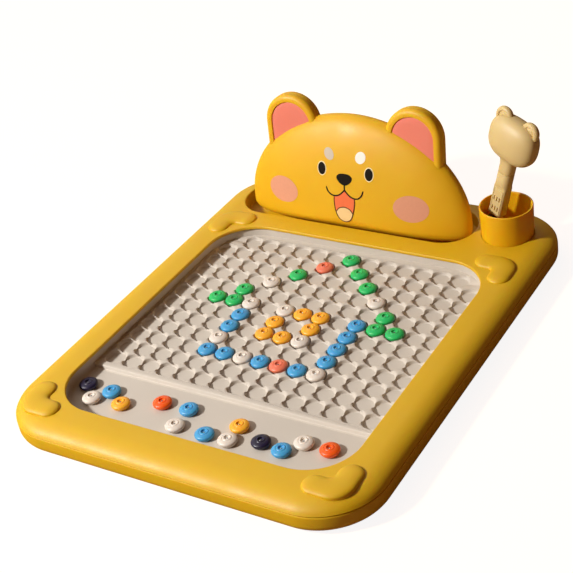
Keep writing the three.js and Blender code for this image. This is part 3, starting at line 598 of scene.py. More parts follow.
def bent_line(start, corner, end, t):
    """A point of the curve that leaves one point towards a corner and arrives at another."""
    return start * (1 - t) ** 2 + corner * (2 * t * (1 - t)) + end * t ** 2


def soft(corners, steps=5):
    """An open profile of (across, up, rounding) corners, with each corner rounded."""
    points = []
    for i, (x, y, rounding) in enumerate(corners):
        here = Vector((x, y))
        if rounding == 0 or i in (0, len(corners) - 1):
            points.append((x, y))
            continue
        back = Vector(corners[i - 1][:2]) - here
        on = Vector(corners[i + 1][:2]) - here
        start = here + back.normalized() * min(rounding, back.length * 0.49)
        end = here + on.normalized() * min(rounding, on.length * 0.49)
        points += [tuple(bent_line(start, here, end, step / steps)) for step in range(steps + 1)]
    return points


def eased(share):
    """A share that starts and ends softly."""
    return share * share * (3 - 2 * share)


def full(value, power):
    """A cosine or sine drawn out to the fuller curve of a power."""
    return math.copysign(abs(value) ** (2 / power), value)


def turned(profile, sides=ROUND_SIDES, middle=(0.0, 0.0)):
    """A turned solid from a profile of (radius, height) read upwards on the outside."""
    return skin(bmesh.new(), [round_ring(r, z, sides, middle) for r, z in profile])


def drum(radius, low, high, sides=ROUND_SIDES, middle=(0.0, 0.0)):
    """A plain round solid between two heights."""
    return turned([(0, low), (radius, low), (radius, high), (0, high)], sides, middle)


def solid_block(low, high, rounding, steps=4):
    """A block between two corners, with its upright edges and its rims rounded."""
    middle = ((low[0] + high[0]) / 2, (low[1] + high[1]) / 2)
    half_x, half_y = (high[0] - low[0]) / 2, (high[1] - low[1]) / 2
    rings = [(rounding * (1 - out), low[2] + rounding * up) for up, out in quarter(steps)]
    rings += [(inset, low[2] + high[2] - height) for inset, height in rings[::-1]]
    return skin(bmesh.new(), [
        ring(half_x - inset, half_y - inset, rounding * 1.5 - inset, height, middle, steps)
        for inset, height in rings
    ])


def quarter(steps):
    """The pairs of one minus cosine and sine along a quarter turn."""
    turns = [math.pi / 2 * i / steps for i in range(steps + 1)]
    return [(1 - math.cos(a), math.sin(a)) for a in turns]


def rolled_edge(radius, top, rounding, steps):
    """The (radius, height) points of a turned solid's rounded upper edge."""
    return [(radius - rounding * back, top - rounding * (1 - up)) for back, up in quarter(steps)]


def settled(name, bm):
    """The mesh of a working mesh, which is given up."""
    mesh = bpy.data.meshes.new(name)
    bm.to_mesh(mesh)
    bm.free()
    return mesh


def linked(name, data):
    """A new object in the scene."""
    made = bpy.data.objects.new(name, data)
    bpy.context.scene.collection.objects.link(made)
    return made


def joined(first, *others):
    """Several meshes as one."""
    for other in others:
        mesh = settled("joined", other)
        first.from_mesh(mesh)
        bpy.data.meshes.remove(mesh)
    return first


def carved(body, *steps):
    """A solid after each (operation, solid) in turn."""
    made = []
    for solid in (body, *[tool for _, tool in steps]):
        bmesh.ops.recalc_face_normals(solid, faces=solid.faces)
        made.append(linked("carving", settled("carving", solid)))
    for (operation, _), tool in zip(steps, made[1:]):
        modifier = made[0].modifiers.new("carve", "BOOLEAN")
        modifier.operation = operation
        modifier.object = tool
        modifier.solver = "EXACT"
    depsgraph = bpy.context.evaluated_depsgraph_get()
    mesh = bpy.data.meshes.new_from_object(made[0].evaluated_get(depsgraph))
    result = bmesh.new()
    result.from_mesh(mesh)
    bpy.data.meshes.remove(mesh)
    for thing in made:
        old = thing.data
        bpy.data.objects.remove(thing)
        bpy.data.meshes.remove(old)
    return result


def mesh_of(name, bm, finish, sharp=SHARP, at=None):
    """A smooth-shaded mesh whose edges stay sharp past an angle; a leaning one is turned into its place."""
    if at is not None:
        bm.transform(at)
    bmesh.ops.recalc_face_normals(bm, faces=bm.faces)
    mesh = settled(name, bm)
    mesh.shade_smooth()
    mesh.set_sharp_from_angle(angle=sharp)
    mesh.materials.append(finishes()[finish])
    return mesh


def piece(name, mesh, body, stands_for=(), place=None):
    """A piece of the object, in its place, riding on a body."""
    made = linked(name, mesh)
    if place is not None:
        made.matrix_world = place
    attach(made, body)
    if stands_for:
        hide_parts(*stands_for)


def moulding(name, bm, finish, body, stands_for=(), sharp=SHARP, at=None, place=None):
    """A piece with a mesh of its own."""
    piece(name, mesh_of(name, bm, finish, sharp, at), body, stands_for, place)


# The case


def board_ring(inset, height):
    """A ring of the case's outline, drawn in by an inset."""
    case = sizes("case")
    return ring(case.width / 2 - inset, case.depth / 2 - inset, case.corner - inset, height)


def opening_ring(outset, height):
    """A ring of the opening's outline, drawn out by an outset."""
    at = places()
    return ring(
        at.opening_half_width + outset, at.opening_half_length + outset,
        sizes("case").opening_corner + outset, height, (0.0, at.opening_middle),
    )


def upper_edge(share):
    """Inset and height at a share of the soft upper edge's quarter turn."""
    case = sizes("case")
    angle = math.pi / 2 * share
    return case.edge_width * (1 - math.cos(angle)), places().edge_start + case.edge_drop * math.sin(angle)


def upper_edge_share(height):
    """The share of the upper edge's turn that lies at a height."""
    return math.asin((height - places().edge_start) / sizes("case").edge_drop) / (math.pi / 2)


def recess_solid(profile):
    """A solid in the shape of the head's recess, from (outset, height) points."""
    case, at = sizes("case"), places()
    return skin(bmesh.new(), [
        ring(case.recess_width / 2 + out, case.recess_length / 2 + out, case.recess_corner + out, z,
             (case.recess_across, at.recess_middle))
        for out, z in profile
    ])


def rounded_mouth(top, rounding, steps=5):
    """The (outset, height) points of a cutter's mouth that rounds the edge it cuts."""
    points = [(rounding * out, top - rounding + rounding * up) for out, up in quarter(steps)]
    return [*points, (rounding, top + OVERRUN)]


def screw_places():
    """The four screws: a front and a rear one on each side."""
    case, fixings, at = sizes("case"), sizes("fixings"), places()
    found = []
    for side in (-1, 1):
        found.append((side * (case.width / 2 - fixings.front_inset), -case.depth / 2 + fixings.front_inset))
        found.append((side * (case.width / 2 - fixings.side_inset), at.opening_rear + fixings.behind))
    return found


def foot_places():
    """The four feet."""
    case, fixings = sizes("case"), sizes("fixings")
    x, y = case.width / 2 - fixings.foot_inset, case.depth / 2 - fixings.foot_inset
    return [(-x, -y), (x, -y), (-x, y), (x, y)]


def top_frame():
    """The frame: a soft outer edge, the opening's lip, the head's recess and the cup's seat."""
    case, pen, at = sizes("case"), sizes("pen"), places()
    low = case.parting + case.parting_gap / 2
    first = upper_edge_share(low)
    rings = [board_ring(upper_edge(first)[0] + case.parting_edge, low)]
    for step in range(EDGE_STEPS + 1):
        inset, height = upper_edge(first + (1 - first) * step / EDGE_STEPS)
        rings.append(board_ring(inset, max(height, low + case.parting_edge)))
    flat, under_rounding, thinnest = 8 * MM, 0.5 * MM, 1 * MM
    lip = soft([
        (flat, case.height, 0), (0, case.height, case.lip_rounding),
        (0, at.lip_underside, under_rounding), (flat, at.lip_underside, 0),
    ])
    rings += [opening_ring(out, z) for out, z in lip]
    for step in range(EDGE_STEPS, -1, -2):
        inset, height = upper_edge(first + (1 - first) * step / EDGE_STEPS)
        lowered = height - case.lip * (height - low) / (case.height - low)
        rings.append(board_ring(inset + case.wall * (1 - step / EDGE_STEPS) + thinnest, max(lowered, low)))
    shell = skin(bmesh.new(), rings, loop=True)

    well_top = at.lip_underside + OVERRUN
    well = recess_solid([(case.wall, at.recess_floor - case.wall), (case.wall, well_top)])
    seat_radius = pen.cup_bottom + pen.seat_gap
    cup_at = (pen.cup_x, pen.cup_y)
    seat = drum(seat_radius + case.wall, pen.seat_floor - case.wall, well_top, ROUND_SIDES * 2, cup_at)
    floor_flat, floor_rounding = 6 * MM, 1.8 * MM
    recess_cut = soft([
        (-floor_flat, at.recess_floor, 0), (0, at.recess_floor, floor_rounding),
        (0, case.height - case.recess_edge, 0),
    ]) + rounded_mouth(case.height, case.recess_edge)[1:]
    seat_flat, seat_rounding, seat_edge = 2 * MM, 0.6 * MM, 0.5 * MM
    seat_cut = [(0, pen.seat_floor)] + soft([
        (seat_radius - seat_flat, pen.seat_floor, 0), (seat_radius, pen.seat_floor, seat_rounding),
        (seat_radius, case.height - seat_edge, 0),
    ])
    seat_cut += [(seat_radius + out, z) for out, z in rounded_mouth(case.height, seat_edge)[1:]]
    seat_cut.append((0, case.height + OVERRUN))
    return carved(
        shell,
        ("UNION", well), ("UNION", seat),
        ("DIFFERENCE", recess_solid(recess_cut)),
        ("DIFFERENCE", turned(seat_cut, ROUND_SIDES * 2, cup_at)),
    )


def lower_case():
    """The lower half: a soft toe, a tongue inside the parting line, pockets for screws and feet."""
    case, fixings, at = sizes("case"), sizes("fixings"), places()
    toe_top = case.stand + case.toe_rise
    rings = [
        board_ring(case.toe_width * inward, toe_top - case.toe_rise * down)
        for inward, down in reversed(quarter(EDGE_STEPS))
    ]
    top = case.parting - case.parting_gap / 2
    top_inset = upper_edge(upper_edge_share(top))[0]
    tongue, tongue_top = top_inset + case.tongue, top + case.tongue
    inner = top_inset + case.wall
    for inset, height in (
        (0, at.edge_start), (top_inset, top - case.parting_edge), (top_inset + case.parting_edge, top),
        (tongue, top), (tongue, tongue_top), (inner, tongue_top), (inner, toe_top),
        (case.toe_width + case.wall, case.stand + case.wall),
    ):
        rings.append(board_ring(inset, height))
    head, shank, foot = fixings.head + PLAY, fixings.shank + PLAY, fixings.foot + PLAY
    mouth = case.stand + fixings.mouth
    head_top = fixings.sunk + fixings.head_height + PLAY
    shank_top = fixings.boss_top + OVERRUN + PLAY
    foot_top = fixings.foot_height + PLAY
    screw_pocket = [
        (0, 0), (head + PLAY, 0), (head + PLAY, mouth - PLAY), (head, mouth), (head, head_top),
        (shank, head_top), (shank, shank_top), (0, shank_top),
    ]
    foot_pocket = [(0, 0), (foot + PLAY, 0), (foot, mouth), (foot, foot_top), (0, foot_top)]
    boss_low = case.stand + OVERRUN
    top_of_boss = fixings.boss_top
    steps = [("UNION", drum(fixings.boss, boss_low, top_of_boss, SMALL_SIDES, p)) for p in screw_places()]
    steps += [("DIFFERENCE", turned(screw_pocket, SMALL_SIDES, p)) for p in screw_places()]
    steps += [("DIFFERENCE", turned(foot_pocket, ROUND_SIDES, p)) for p in foot_places()]
    return carved(skin(bmesh.new(), rings), *steps)


def case_screw():
    """A pan-head screw with a cross in its head, head down, from its head's face up."""
    f = sizes("fixings")
    dome, edge, point, point_edge = 0.7 * MM, 0.2 * MM, 0.6 * MM, 0.3 * MM
    body = turned(soft([
        (0, 0, 0), (f.head, 0, dome), (f.head, f.head_height, edge), (f.shank, f.head_height, edge),
        (f.shank, f.reach - point, point_edge), (0, f.reach, 0),
    ]), SMALL_SIDES)
    long, short, deep = 1.7 * MM, 0.35 * MM, 1.1 * MM
    arms = []
    for x, y in ((long, short), (short, long)):
        arms.append(("DIFFERENCE", skin(bmesh.new(), [
            ring(x, y, 0.1 * MM, -OVERRUN, steps=3), ring(x * 0.8, y * 0.8, 0.08 * MM, deep, steps=3),
        ])))
    return carved(body, *arms)


def rubber_foot():
    """A round foot with a shallow dish in its face."""
    f = sizes("fixings")
    dish, edge = 0.35 * MM, 0.2 * MM
    return turned(soft([
        (0, dish, 0), (f.foot - 2.4 * MM, dish, edge), (f.foot - 2 * MM, 0, edge),
        (f.foot - 0.1 * MM, 0, 0.6 * MM), (f.foot, f.foot_height, 0.1 * MM), (0, f.foot_height, 0),
    ]))


def build_case():
    """The case, its corner pads, screws and feet, and the sheet inside."""
    case, fixings, pads, at = sizes("case"), sizes("fixings"), sizes("pads"), places()
    moulding("case_lower", lower_case(), "case", "board", ["lower_case"])
    moulding("case_top", top_frame(), "case", "board", ["top_frame"])
    screw, foot = mesh_of("screw", case_screw(), "steel"), mesh_of("foot", rubber_foot(), "rubber")
    for i, (x, y) in enumerate(screw_places(), 1):
        piece(f"screw_{i}", screw, "board", [f"case_screw_{i}"],
              Matrix.Translation((x, y, fixings.sunk)))
    for i, (x, y) in enumerate(foot_places(), 1):
        piece(f"foot_{i}", foot, "board", [f"rubber_foot_{i}"], Matrix.Translation((x, y, 0)))

    # The magnetic sheet shows from no side, so it stays as packed and only takes its finish
    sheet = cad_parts["magnet_sheet"]
    sheet.data.materials.clear()
    sheet.data.materials.append(finishes()["sheet"])

    for side_x, name_x in ((-1, "left"), (1, "right")):
        for side_y, name_y in ((-1, "front"), (1, "rear")):
            x = side_x * (case.width / 2 - pads.side_inset)
            y = pads.front_inset - case.depth / 2 if side_y < 0 else at.opening_rear + pads.behind
            turn = math.atan2(-side_y, -side_x) - math.pi / 4
            name = f"{name_y}_{name_x}"
            place = Matrix.Translation((x, y, case.height)) @ Matrix.Rotation(turn, 4, "Z")
            moulding(f"pad_{name}", corner_pad(), "case", "board", [f"corner_pad_{name}"],
                     math.radians(60), place=place)


def pad_outline():
    """The pad's outline from above: two arms with round ends that meet in a round corner."""
    pads = sizes("pads")
    end = pads.breadth / 2
    inner = pads.breadth + pads.inner
    arcs = [
        (pads.arm - end, end, end, -90, 90), (inner, inner, pads.inner, 270, 180),
        (end, pads.arm - end, end, 0, 180), (pads.outer, pads.outer, pads.outer, 180, 270),
    ]
    points = []
    for x, y, radius, start, stop in arcs:
        for i in range(ARC_STEPS + 1):
            angle = math.radians(start + (stop - start) * i / ARC_STEPS)
            points.append(Vector((x + radius * math.cos(angle), y + radius * math.sin(angle))))
    outline = []
    for a, b in zip(points, points[1:] + points[:1]):
        parts = max(1, round((b - a).length / MM))
        outline += [a.lerp(b, i / parts) for i in range(parts)]
    return outline


def corner_pad():
    """A pad that rises from its edge to a ridge along the middle of its arms."""
    pads = sizes("pads")
    outline = pad_outline()
    end = pads.breadth / 2
    bend = Vector((pads.bend, pads.bend))
    tips = Vector((pads.arm - end, end)), Vector((end, pads.arm - end))
    ridge = [bent_line(tips[0], bend, tips[1], i / RIDGE_STEPS) for i in range(RIDGE_STEPS + 1)]
    inward = [min(ridge, key=lambda q: (q - p).length) - p for p in outline]
    rings = [[Vector((*p, height)) for p in outline] for height in (-pads.root, -pads.crease)]

    # The rings stop short of the ridge, where they would cross
    nearly_all, gather = 0.9, 1.2
    for inner, _ in quarter(PAD_STEPS):
        share = nearly_all * inner ** gather
        rise = (1 - (1 - share) ** pads.swell) ** (1 / pads.swell)
        height = (pads.rise + pads.crease) * rise - pads.crease
        rings.append([Vector((*(p + way * share), height)) for p, way in zip(outline, inward)])
    bm = skin(bmesh.new(), rings)
    bmesh.ops.triangulate(bm, faces=[f for f in bm.faces if len(f.verts) > 4])
    return bm


# The plate


def pit_place(column, row):
    """The middle of one place of the field."""
    plate = sizes("plate")
    return (
        plate.pitch * (column - (plate.columns - 1) / 2),
        plate.field_middle + plate.pitch * (row - (plate.rows - 1) / 2),
    )


def has_pit(column, row):
    """Every place has a pit, apart from the field's two rear corners."""
    plate = sizes("plate")
    return row != plate.rows - 1 or column not in (0, plate.columns - 1)


def pit_height(radius):
    """Height of the field at a distance from a pit's middle: a flat floor that rolls up into a post."""
    plate = sizes("plate")
    low = plate.floor + plate.pit_base
    share = min(1.0, max(0.0, (radius - plate.pit_floor) / (plate.pit_top - plate.pit_floor)))
    return low + (plate.floor + plate.pit_depth - low) * eased(share) ** 2


def pit_tile(bm, column, row):
    """One square of the field with its pit, out to the square's edges."""
    plate = sizes("plate")
    x, y = pit_place(column, row)
    half = plate.pitch / 2
    foot = plate.pit_floor + (half - plate.pit_floor) * 0.8
    crown = plate.pit_top + plate.pit_base
    turns = [2 * math.pi * (i + 0.5) / TILE_SIDES for i in range(TILE_SIDES)]
    edges = [half / max(abs(math.cos(a)), abs(math.sin(a))) for a in turns]

    def row_at(radii):
        return [
            bm.verts.new((x + radius * math.cos(a), y + radius * math.sin(a), pit_height(radius)))
            for a, radius in zip(turns, radii)
        ]

    centre = bm.verts.new((x, y, pit_height(0)))
    rows = [row_at([plate.pit_floor * share] * TILE_SIDES) for share in (0.5, 0.95, 1.0)]
    for share in (0.35, 0.7, 1.0):
        rows.append(row_at([plate.pit_floor + (foot - plate.pit_floor) * share] * TILE_SIDES))
    for share in (0.25, 0.5, 0.75, 1.0):
        rows.append(row_at([foot + (min(crown, edge - HAIR) - foot) * share for edge in edges]))
    rows.append(row_at(edges))
    for i in range(TILE_SIDES):
        j = (i + 1) % TILE_SIDES
        bm.faces.new((centre, rows[0][i], rows[0][j]))
        for low, high in zip(rows, rows[1:]):
            bm.faces.new((low[i], high[i], high[j], low[j]))
    for i in range(TILE_SIDES):
        a, b = rows[-1][i], rows[-1][(i + 1) % TILE_SIDES]
        if abs(a.co.x - b.co.x) > TINY and abs(a.co.y - b.co.y) > TINY:
            corner_x = x + math.copysign(half, a.co.x - x)
            corner_y = y + math.copysign(half, a.co.y - y)
            bm.faces.new((a, bm.verts.new((corner_x, corner_y, pit_height(half * math.sqrt(2)))), b))


def deck():
    """The raised field: its pits, the flat band round them, the front step, and a flat underside."""
    plate, at = sizes("plate"), places()
    bm = bmesh.new()
    for row in range(plate.rows):
        for column in range(plate.columns):
            if has_pit(column, row):
                pit_tile(bm, column, row)
    bmesh.ops.remove_doubles(bm, verts=bm.verts, dist=0.01 * MM)
    inner = open_loop(bm)

    # The band's outer edge runs from the step's right end round the back to its left end
    mid_rim = plate.rim_setback + plate.rim / 2
    outline = [p for p in opening_ring(mid_rim, at.pit_top) if p.y > plate.field_front]
    left = min(p.x for p in outline)
    right = max(p.x for p in outline)
    start = max(range(len(outline)), key=lambda i: outline[i].x - outline[i].y * 10)
    ends = [Vector((x, plate.field_front, at.pit_top)) for x in (right, left)]
    rim = [bm.verts.new(p) for p in (ends[0], *outline[start:], *outline[:start], ends[1])]
    every = rim + inner
    for corners in tessellate_polygon([[v.co.copy() for v in rim], [v.co.copy() for v in inner]]):
        if len(set(corners)) == 3:
            bm.faces.new([every[i] for i in corners])

    toe = plate.field_front - plate.step_slope
    foot, skirt = plate.floor + HAIR, plate.floor - plate.skirt
    steepness = 0.8
    slope = soft([
        (plate.field_front, at.pit_top, 0),
        (plate.field_front - plate.step_slope * steepness, at.pit_top, 0.6 * MM),
        (toe, foot, 0.4 * MM), (toe - plate.apron, foot, 0), (toe - plate.apron, skirt, 0),
    ])
    rows = [[rim[0], rim[-1]]]
    for y, z in slope[1:]:
        rows.append([bm.verts.new((x, y, z)) for x in (right, left)])
    for a, b in zip(rows, rows[1:]):
        bm.faces.new((a[0], a[1], b[1], b[0]))
    border = open_loop(bm)
    below = [bm.verts.new((v.co.x, v.co.y, skirt)) for v in border]
    for i in range(len(border)):
        j = (i + 1) % len(border)
        if any((border[k].co - below[k].co).length > TINY for k in (i, j)):
            bm.faces.new((border[i], border[j], below[j], below[i]))
    bm.faces.new(below)
    bmesh.ops.remove_doubles(bm, verts=bm.verts, dist=0.001 * MM)
    bmesh.ops.triangulate(bm, faces=[f for f in bm.faces if len(f.verts) > 4])
    return bm


def open_loop(bm):
    """The longest closed loop of verts along a mesh's open edges, in order."""
    bm.verts.index_update()
    near = {}
    for edge in bm.edges:
        if len(edge.link_faces) == 1:
            for a, b in (tuple(edge.verts), tuple(reversed(edge.verts))):
                near.setdefault(a, []).append(b)
    left = set(near)
    best = []
    while left:
        start = min(left, key=lambda v: v.index)
        walk = [start]
        left.discard(start)
        while True:
            on = [v for v in near[walk[-1]] if v in left]
            if not on:
                break
            walk.append(on[0])
            left.discard(on[0])
        if len(walk) > len(best):
            best = walk
    return best


def tray():
    """The plate's rim and the flat floor of the tray, as one dish."""
    plate, at = sizes("plate"), places()
    top = at.lip_underside - plate.rim_gap
    inner, outer = plate.rim_setback, plate.rim_setback + plate.rim
    edge, roll, floor_flat = 0.5 * MM, 0.7 * MM, 6 * MM
    profile = [
        (outer, plate.underside), (outer, top - edge), (outer - edge, top), (inner + roll, top),
        (inner + 0.15 * MM, top - 0.25 * MM),
    ]
    profile += soft([
        (inner, top - 0.8 * MM, 0), (inner, plate.floor, plate.rim_fillet),
        (inner - floor_flat, plate.floor, 0),
    ], 8)
    return skin(bmesh.new(), [opening_ring(out, z) for out, z in profile])


def build_plate():
    """The bead plate."""
    moulding("plate", joined(tray(), deck()), "plate", "board", ["bead_plate"],
             math.radians(50))


# The beads


def bead_profile():
    """A bead's outline: tapered base, steep flange, broad dome, fine groove, crown and small dimple."""
    b = sizes("beads")
    dimple = b.height - b.dish
    return soft([
        (0, 0, 0), (b.base, 0, 0.5 * MM), (b.flange, b.flange_low, 0.35 * MM),
        (b.flange, b.flange_high, 0.7 * MM), (b.shoulder, b.height - 0.75 * MM, 0.7 * MM),
        (b.groove + 0.3 * MM, b.height - 0.25 * MM, 0.15 * MM), (b.groove, b.height - 0.45 * MM, 0.08 * MM),
        (b.groove - 0.25 * MM, b.height - 0.2 * MM, 0.15 * MM), (b.crown + 0.3 * MM, b.height, 0.3 * MM),
        (b.crown - 0.1 * MM, b.height - HAIR, 0.1 * MM), (b.crown - 0.4 * MM, dimple, 0.15 * MM),
        (0, dimple, 0),
    ], 3)


def bead_centre():
    """The domed end of the steel centre in a bead's dimple."""
    b = sizes("beads")
    dimple = b.height - b.dish
    low = dimple - 0.8 * MM
    return turned(soft([
        (0, low, 0), (b.centre, low, 0.1 * MM), (b.centre, dimple + 0.22 * MM, 0.3 * MM),
        (0, dimple + 0.32 * MM, 0),
    ], 3), SMALL_SIDES // 2)


def build_beads():
    """The seated beads and the loose beads in the tray, each with its steel centre."""
    b, plate = sizes("beads"), sizes("plate")
    colours = ("green", "coral", "white", "blue", "orange", "red", "navy")
    meshes = {c: mesh_of(f"bead_{c}", turned(bead_profile(), SMALL_SIDES), c) for c in colours}
    dot = mesh_of("bead_centre", bead_centre(), "steel")
    for colour, found in PICTURE.items():
        for i, (column, row) in enumerate(found, 1):
            node = f"bead_{colour}_{i}"
            place = Matrix.Translation((*pit_place(column, row), plate.floor + b.lift))
            piece(f"seated_{colour}_{i}", meshes[colour], node, [node], place)
            piece(f"centre_{colour}_{i}", dot, node, (), place)
    for i, (colour, x, y) in enumerate(LOOSE, 1):
        place = Matrix.Translation((x * MM, y * MM, plate.floor + HAIR))
        piece(f"loose_{colour}_{i}", meshes[colour], "board", (), place)
        piece(f"loose_centre_{i}", dot, "board", (), place)


# The head


def head_outline(steps=64):
    """The head's outline as (across, up from the widest line) pairs."""
    head = sizes("head")
    points = []
    for way, power, reach in ((1, head.upper_power, head.upper), (-1, head.lower_power, head.lower)):
        for i in range(steps):
            angle = math.pi * (i / steps if way > 0 else 1 - i / steps)
            across, up = full(math.cos(angle), power), abs(full(math.sin(angle), power))
            points.append((head.half_width * across, way * reach * up))
    return points


def pillow_y(x, z):
    """Half the head's thickness at a place of its outline plane."""
    head = sizes("head")
    up = z - head.widest
    power = head.upper_power if up >= 0 else head.lower_power
    reach = head.upper if up >= 0 else head.lower
    share = ((abs(x) / head.half_width) ** power + (abs(up) / reach) ** power) ** (1 / power)
    return head.half_depth * max(0.0, 1 - min(1.0, share) ** 2) ** (1 / head.depth_power)


def half_pillow(side):
    """The front or rear half of the head's pillow, closed at the seam."""
    head = sizes("head")
    outline = head_outline()
    shares = (0.12, 0.24, 0.36, 0.47, 0.57, 0.66, 0.74, 0.81, 0.87, 0.915, 0.95, 0.975, 0.99, 0.997, 0.9995)
    rings = [[Vector((0, side * head.half_depth, head.widest))]]
    for share in shares:
        depth = head.half_depth * (1 - share ** 2) ** (1 / head.depth_power)
        rings.append([Vector((x * share, side * depth, head.widest + z * share)) for x, z in outline])
    rings.append([Vector((x, side * head.seam / 2, head.widest + z)) for x, z in outline])
    return skin(bmesh.new(), rings)


def on_ear_axis(bm, side):
    """Lays a body turned on Z along the ear's axis, with Z to the front, and draws its lower half down."""
    head = sizes("head")
    for vert in bm.verts:
        if vert.co.y < -0.001 * MM:
            vert.co.y -= head.ear_straight
    place = Matrix.Translation((side * head.ear_across, 0, head.ear_above))
    bm.transform(place @ Matrix.Rotation(math.pi / 2, 4, "X"))
    return bm


def half_ear(side, front):
    """The front or rear half of an ear; the front one has a dish."""
    head = sizes("head")
    deep, radius, rounding = head.ear_half_depth, head.ear_radius, head.ear_rounding
    profile = [(0, head.seam / 2), (radius, head.seam / 2), *rolled_edge(radius, deep, rounding, EAR_STEPS)]
    if front:
        profile += soft([
            (radius - rounding - 0.6 * MM, deep, 0), (head.dish_radius, deep, 0.9 * MM),
            (head.dish_radius, deep - head.dish_depth, 0.3 * MM), (0, deep - head.dish_depth, 0),
        ])
    else:
        profile.append((0, deep))
    bm = turned(profile)
    if not front:
        bm.transform(Matrix.Diagonal((1, 1, -1, 1)))
    return on_ear_axis(bm, side)


def ear_insert(side):
    """The pink plate in an ear: thin, with a shallow crown."""
    head = sizes("head")
    back = head.ear_half_depth - head.dish_depth + PLAY
    front = back + head.insert_thickness
    return on_ear_axis(turned(soft([
        (0, back, 0), (head.insert_radius, back, 0.1 * MM), (head.insert_radius, front - 0.5 * MM, 0.4 * MM),
        (head.insert_radius * 0.8, front - 0.1 * MM, 2 * MM), (0, front, 0),
    ])), side)


def head_foot(side):
    """Half of the flat foot that stands on the recess floor."""
    head = sizes("head")
    near, far = head.seam / 2, head.foot_half_depth
    low_y, high_y = (near, far) if side > 0 else (-far, -near)
    low, high, rounding = -head.foot_low + HAIR, -head.foot_high, 0.5 * MM
    return solid_block((-head.foot_half_width, low_y, low), (head.foot_half_width, high_y, high), rounding)


def build_head():
    """The head's two shells and the ear inserts."""
    at = places().head
    for side, name in ((-1, "front"), (1, "rear")):
        shell = joined(half_pillow(side), half_ear(-1, side < 0), half_ear(1, side < 0), head_foot(side))
        moulding(f"head_{name}", shell, "head", "head", [f"head_{name}_shell"], at=at)
    for side, name in ((-1, "left"), (1, "right")):
        moulding(f"ear_{name}", ear_insert(side), "ear", "head", [f"ear_insert_{name}"],
                 at=at)


# The printed face

# How deep a print reaches into the shell
PRINT_ROOT = 0.3 * MM

# How high each layer of ink stands on the shell
INK_LOW, INK_MIDDLE, INK_HIGH = 0.10 * MM, 0.17 * MM, 0.24 * MM

# All places and sizes of the face are in pitches, across and up from the middle of the head's plane
EYE_EDGE = (0.27, 0.38)
EYE = (0.225, 0.33)
CHEEK = (0.95, 0.72)
MOUTH_LINE, TONGUE_LINE, SMILE_LINE = 0.05, 0.045, 0.07

# Each side: its name, eye, brow, the brow's half sizes, turn in degrees and ink, and its cheek
EYES_BROWS_CHEEKS = (
    ("left", (-1.335, 2.935), (-0.92, 3.745), (0.265, 0.335), 34, "brow_grey", (-3.9, 1.325)),
    ("right", (1.425, 2.935), (0.92, 3.745), (0.285, 0.315), -28, "brow", (3.68, 1.325)),
)
NOSE = [
    (0.03, 2.815), (0.3, 2.775), (0.455, 2.605), (0.36, 2.385), (0.12, 2.215), (-0.12, 2.215),
    (-0.36, 2.385), (-0.455, 2.605), (-0.3, 2.775),
]
MOUTH_LEFT = [(-0.62, 1.535), (-0.64, 1.185), (-0.57, 0.685), (-0.38, 0.305)]
MOUTH_LOW = (-0.05, 0.145)
MOUTH_RIGHT = [(0.28, 0.305), (0.45, 0.685), (0.56, 1.185), (0.57, 1.535)]
TONGUE_TOP = [(-0.55, 0.665), (-0.37, 0.885), (-0.05, 0.985), (0.26, 0.885), (0.43, 0.665)]
SMILE = {
    "left": [(-1.09, 2.005), (-0.98, 1.735), (-0.72, 1.565), (-0.38, 1.605), (-0.1, 1.825), (0, 1.955)],
    "right": [(1.09, 2.025), (0.97, 1.735), (0.72, 1.545), (0.38, 1.595), (0.1, 1.825), (0, 1.955)],
    "line": [(0, 2.285), (0, 2.105), (0, 1.935)],
}


def on_face(x, z, lift):
    """The place above the head's front at a point of its outline plane."""
    return Vector((x, -pillow_y(x, z) - lift, z))


def film(outline, middle, lift, rings=7):
    """A thin printed film over the head's front, inside a closed outline of (across, up) points."""
    bottom, top = [], []
    for i in range(rings + 1):
        share = i / rings
        flat = [middle]
        if i > 0:
            flat = [tuple(m + (v - m) * share for m, v in zip(middle, point)) for point in outline]
        top.append([on_face(x, z, lift) for x, z in flat])
        bottom.append([on_face(x, z, -PRINT_ROOT) for x, z in flat])
    return skin(bmesh.new(), bottom + top[::-1])


def stroke(points, width, lift):
    """A thin printed line over the head's front, along (across, up) points, narrowed at its ends."""
    last = len(points) - 1
    rings = []
    for i, (x, z) in enumerate(points):
        before, after = points[max(i - 1, 0)], points[min(i + 1, last)]
        run = Vector((after[0] - before[0], after[1] - before[1])).normalized()
        end = min(1.0, 0.3 + 0.7 * min(i, last - i) / 3)
        out = Vector((-run.y, run.x)) * width / 2 * end
        near, far = (x + out.x, z + out.y), (x - out.x, z - out.y)
        rings.append([
            on_face(*near, lift), on_face(*far, lift),
            on_face(*far, -PRINT_ROOT), on_face(*near, -PRINT_ROOT),
        ])
    return skin(bmesh.new(), rings)


def oval(middle, half_x, half_z, turn=0.0, power=2.0, sides=48):
    """A closed oval outline, turned in its plane."""
    points = []
    for i in range(sides):
        angle = 2 * math.pi * i / sides
        x, z = half_x * full(math.cos(angle), power), half_z * full(math.sin(angle), power)
        points.append((
            middle[0] + x * math.cos(turn) - z * math.sin(turn),
            middle[1] + x * math.sin(turn) + z * math.cos(turn),
        ))
    return points


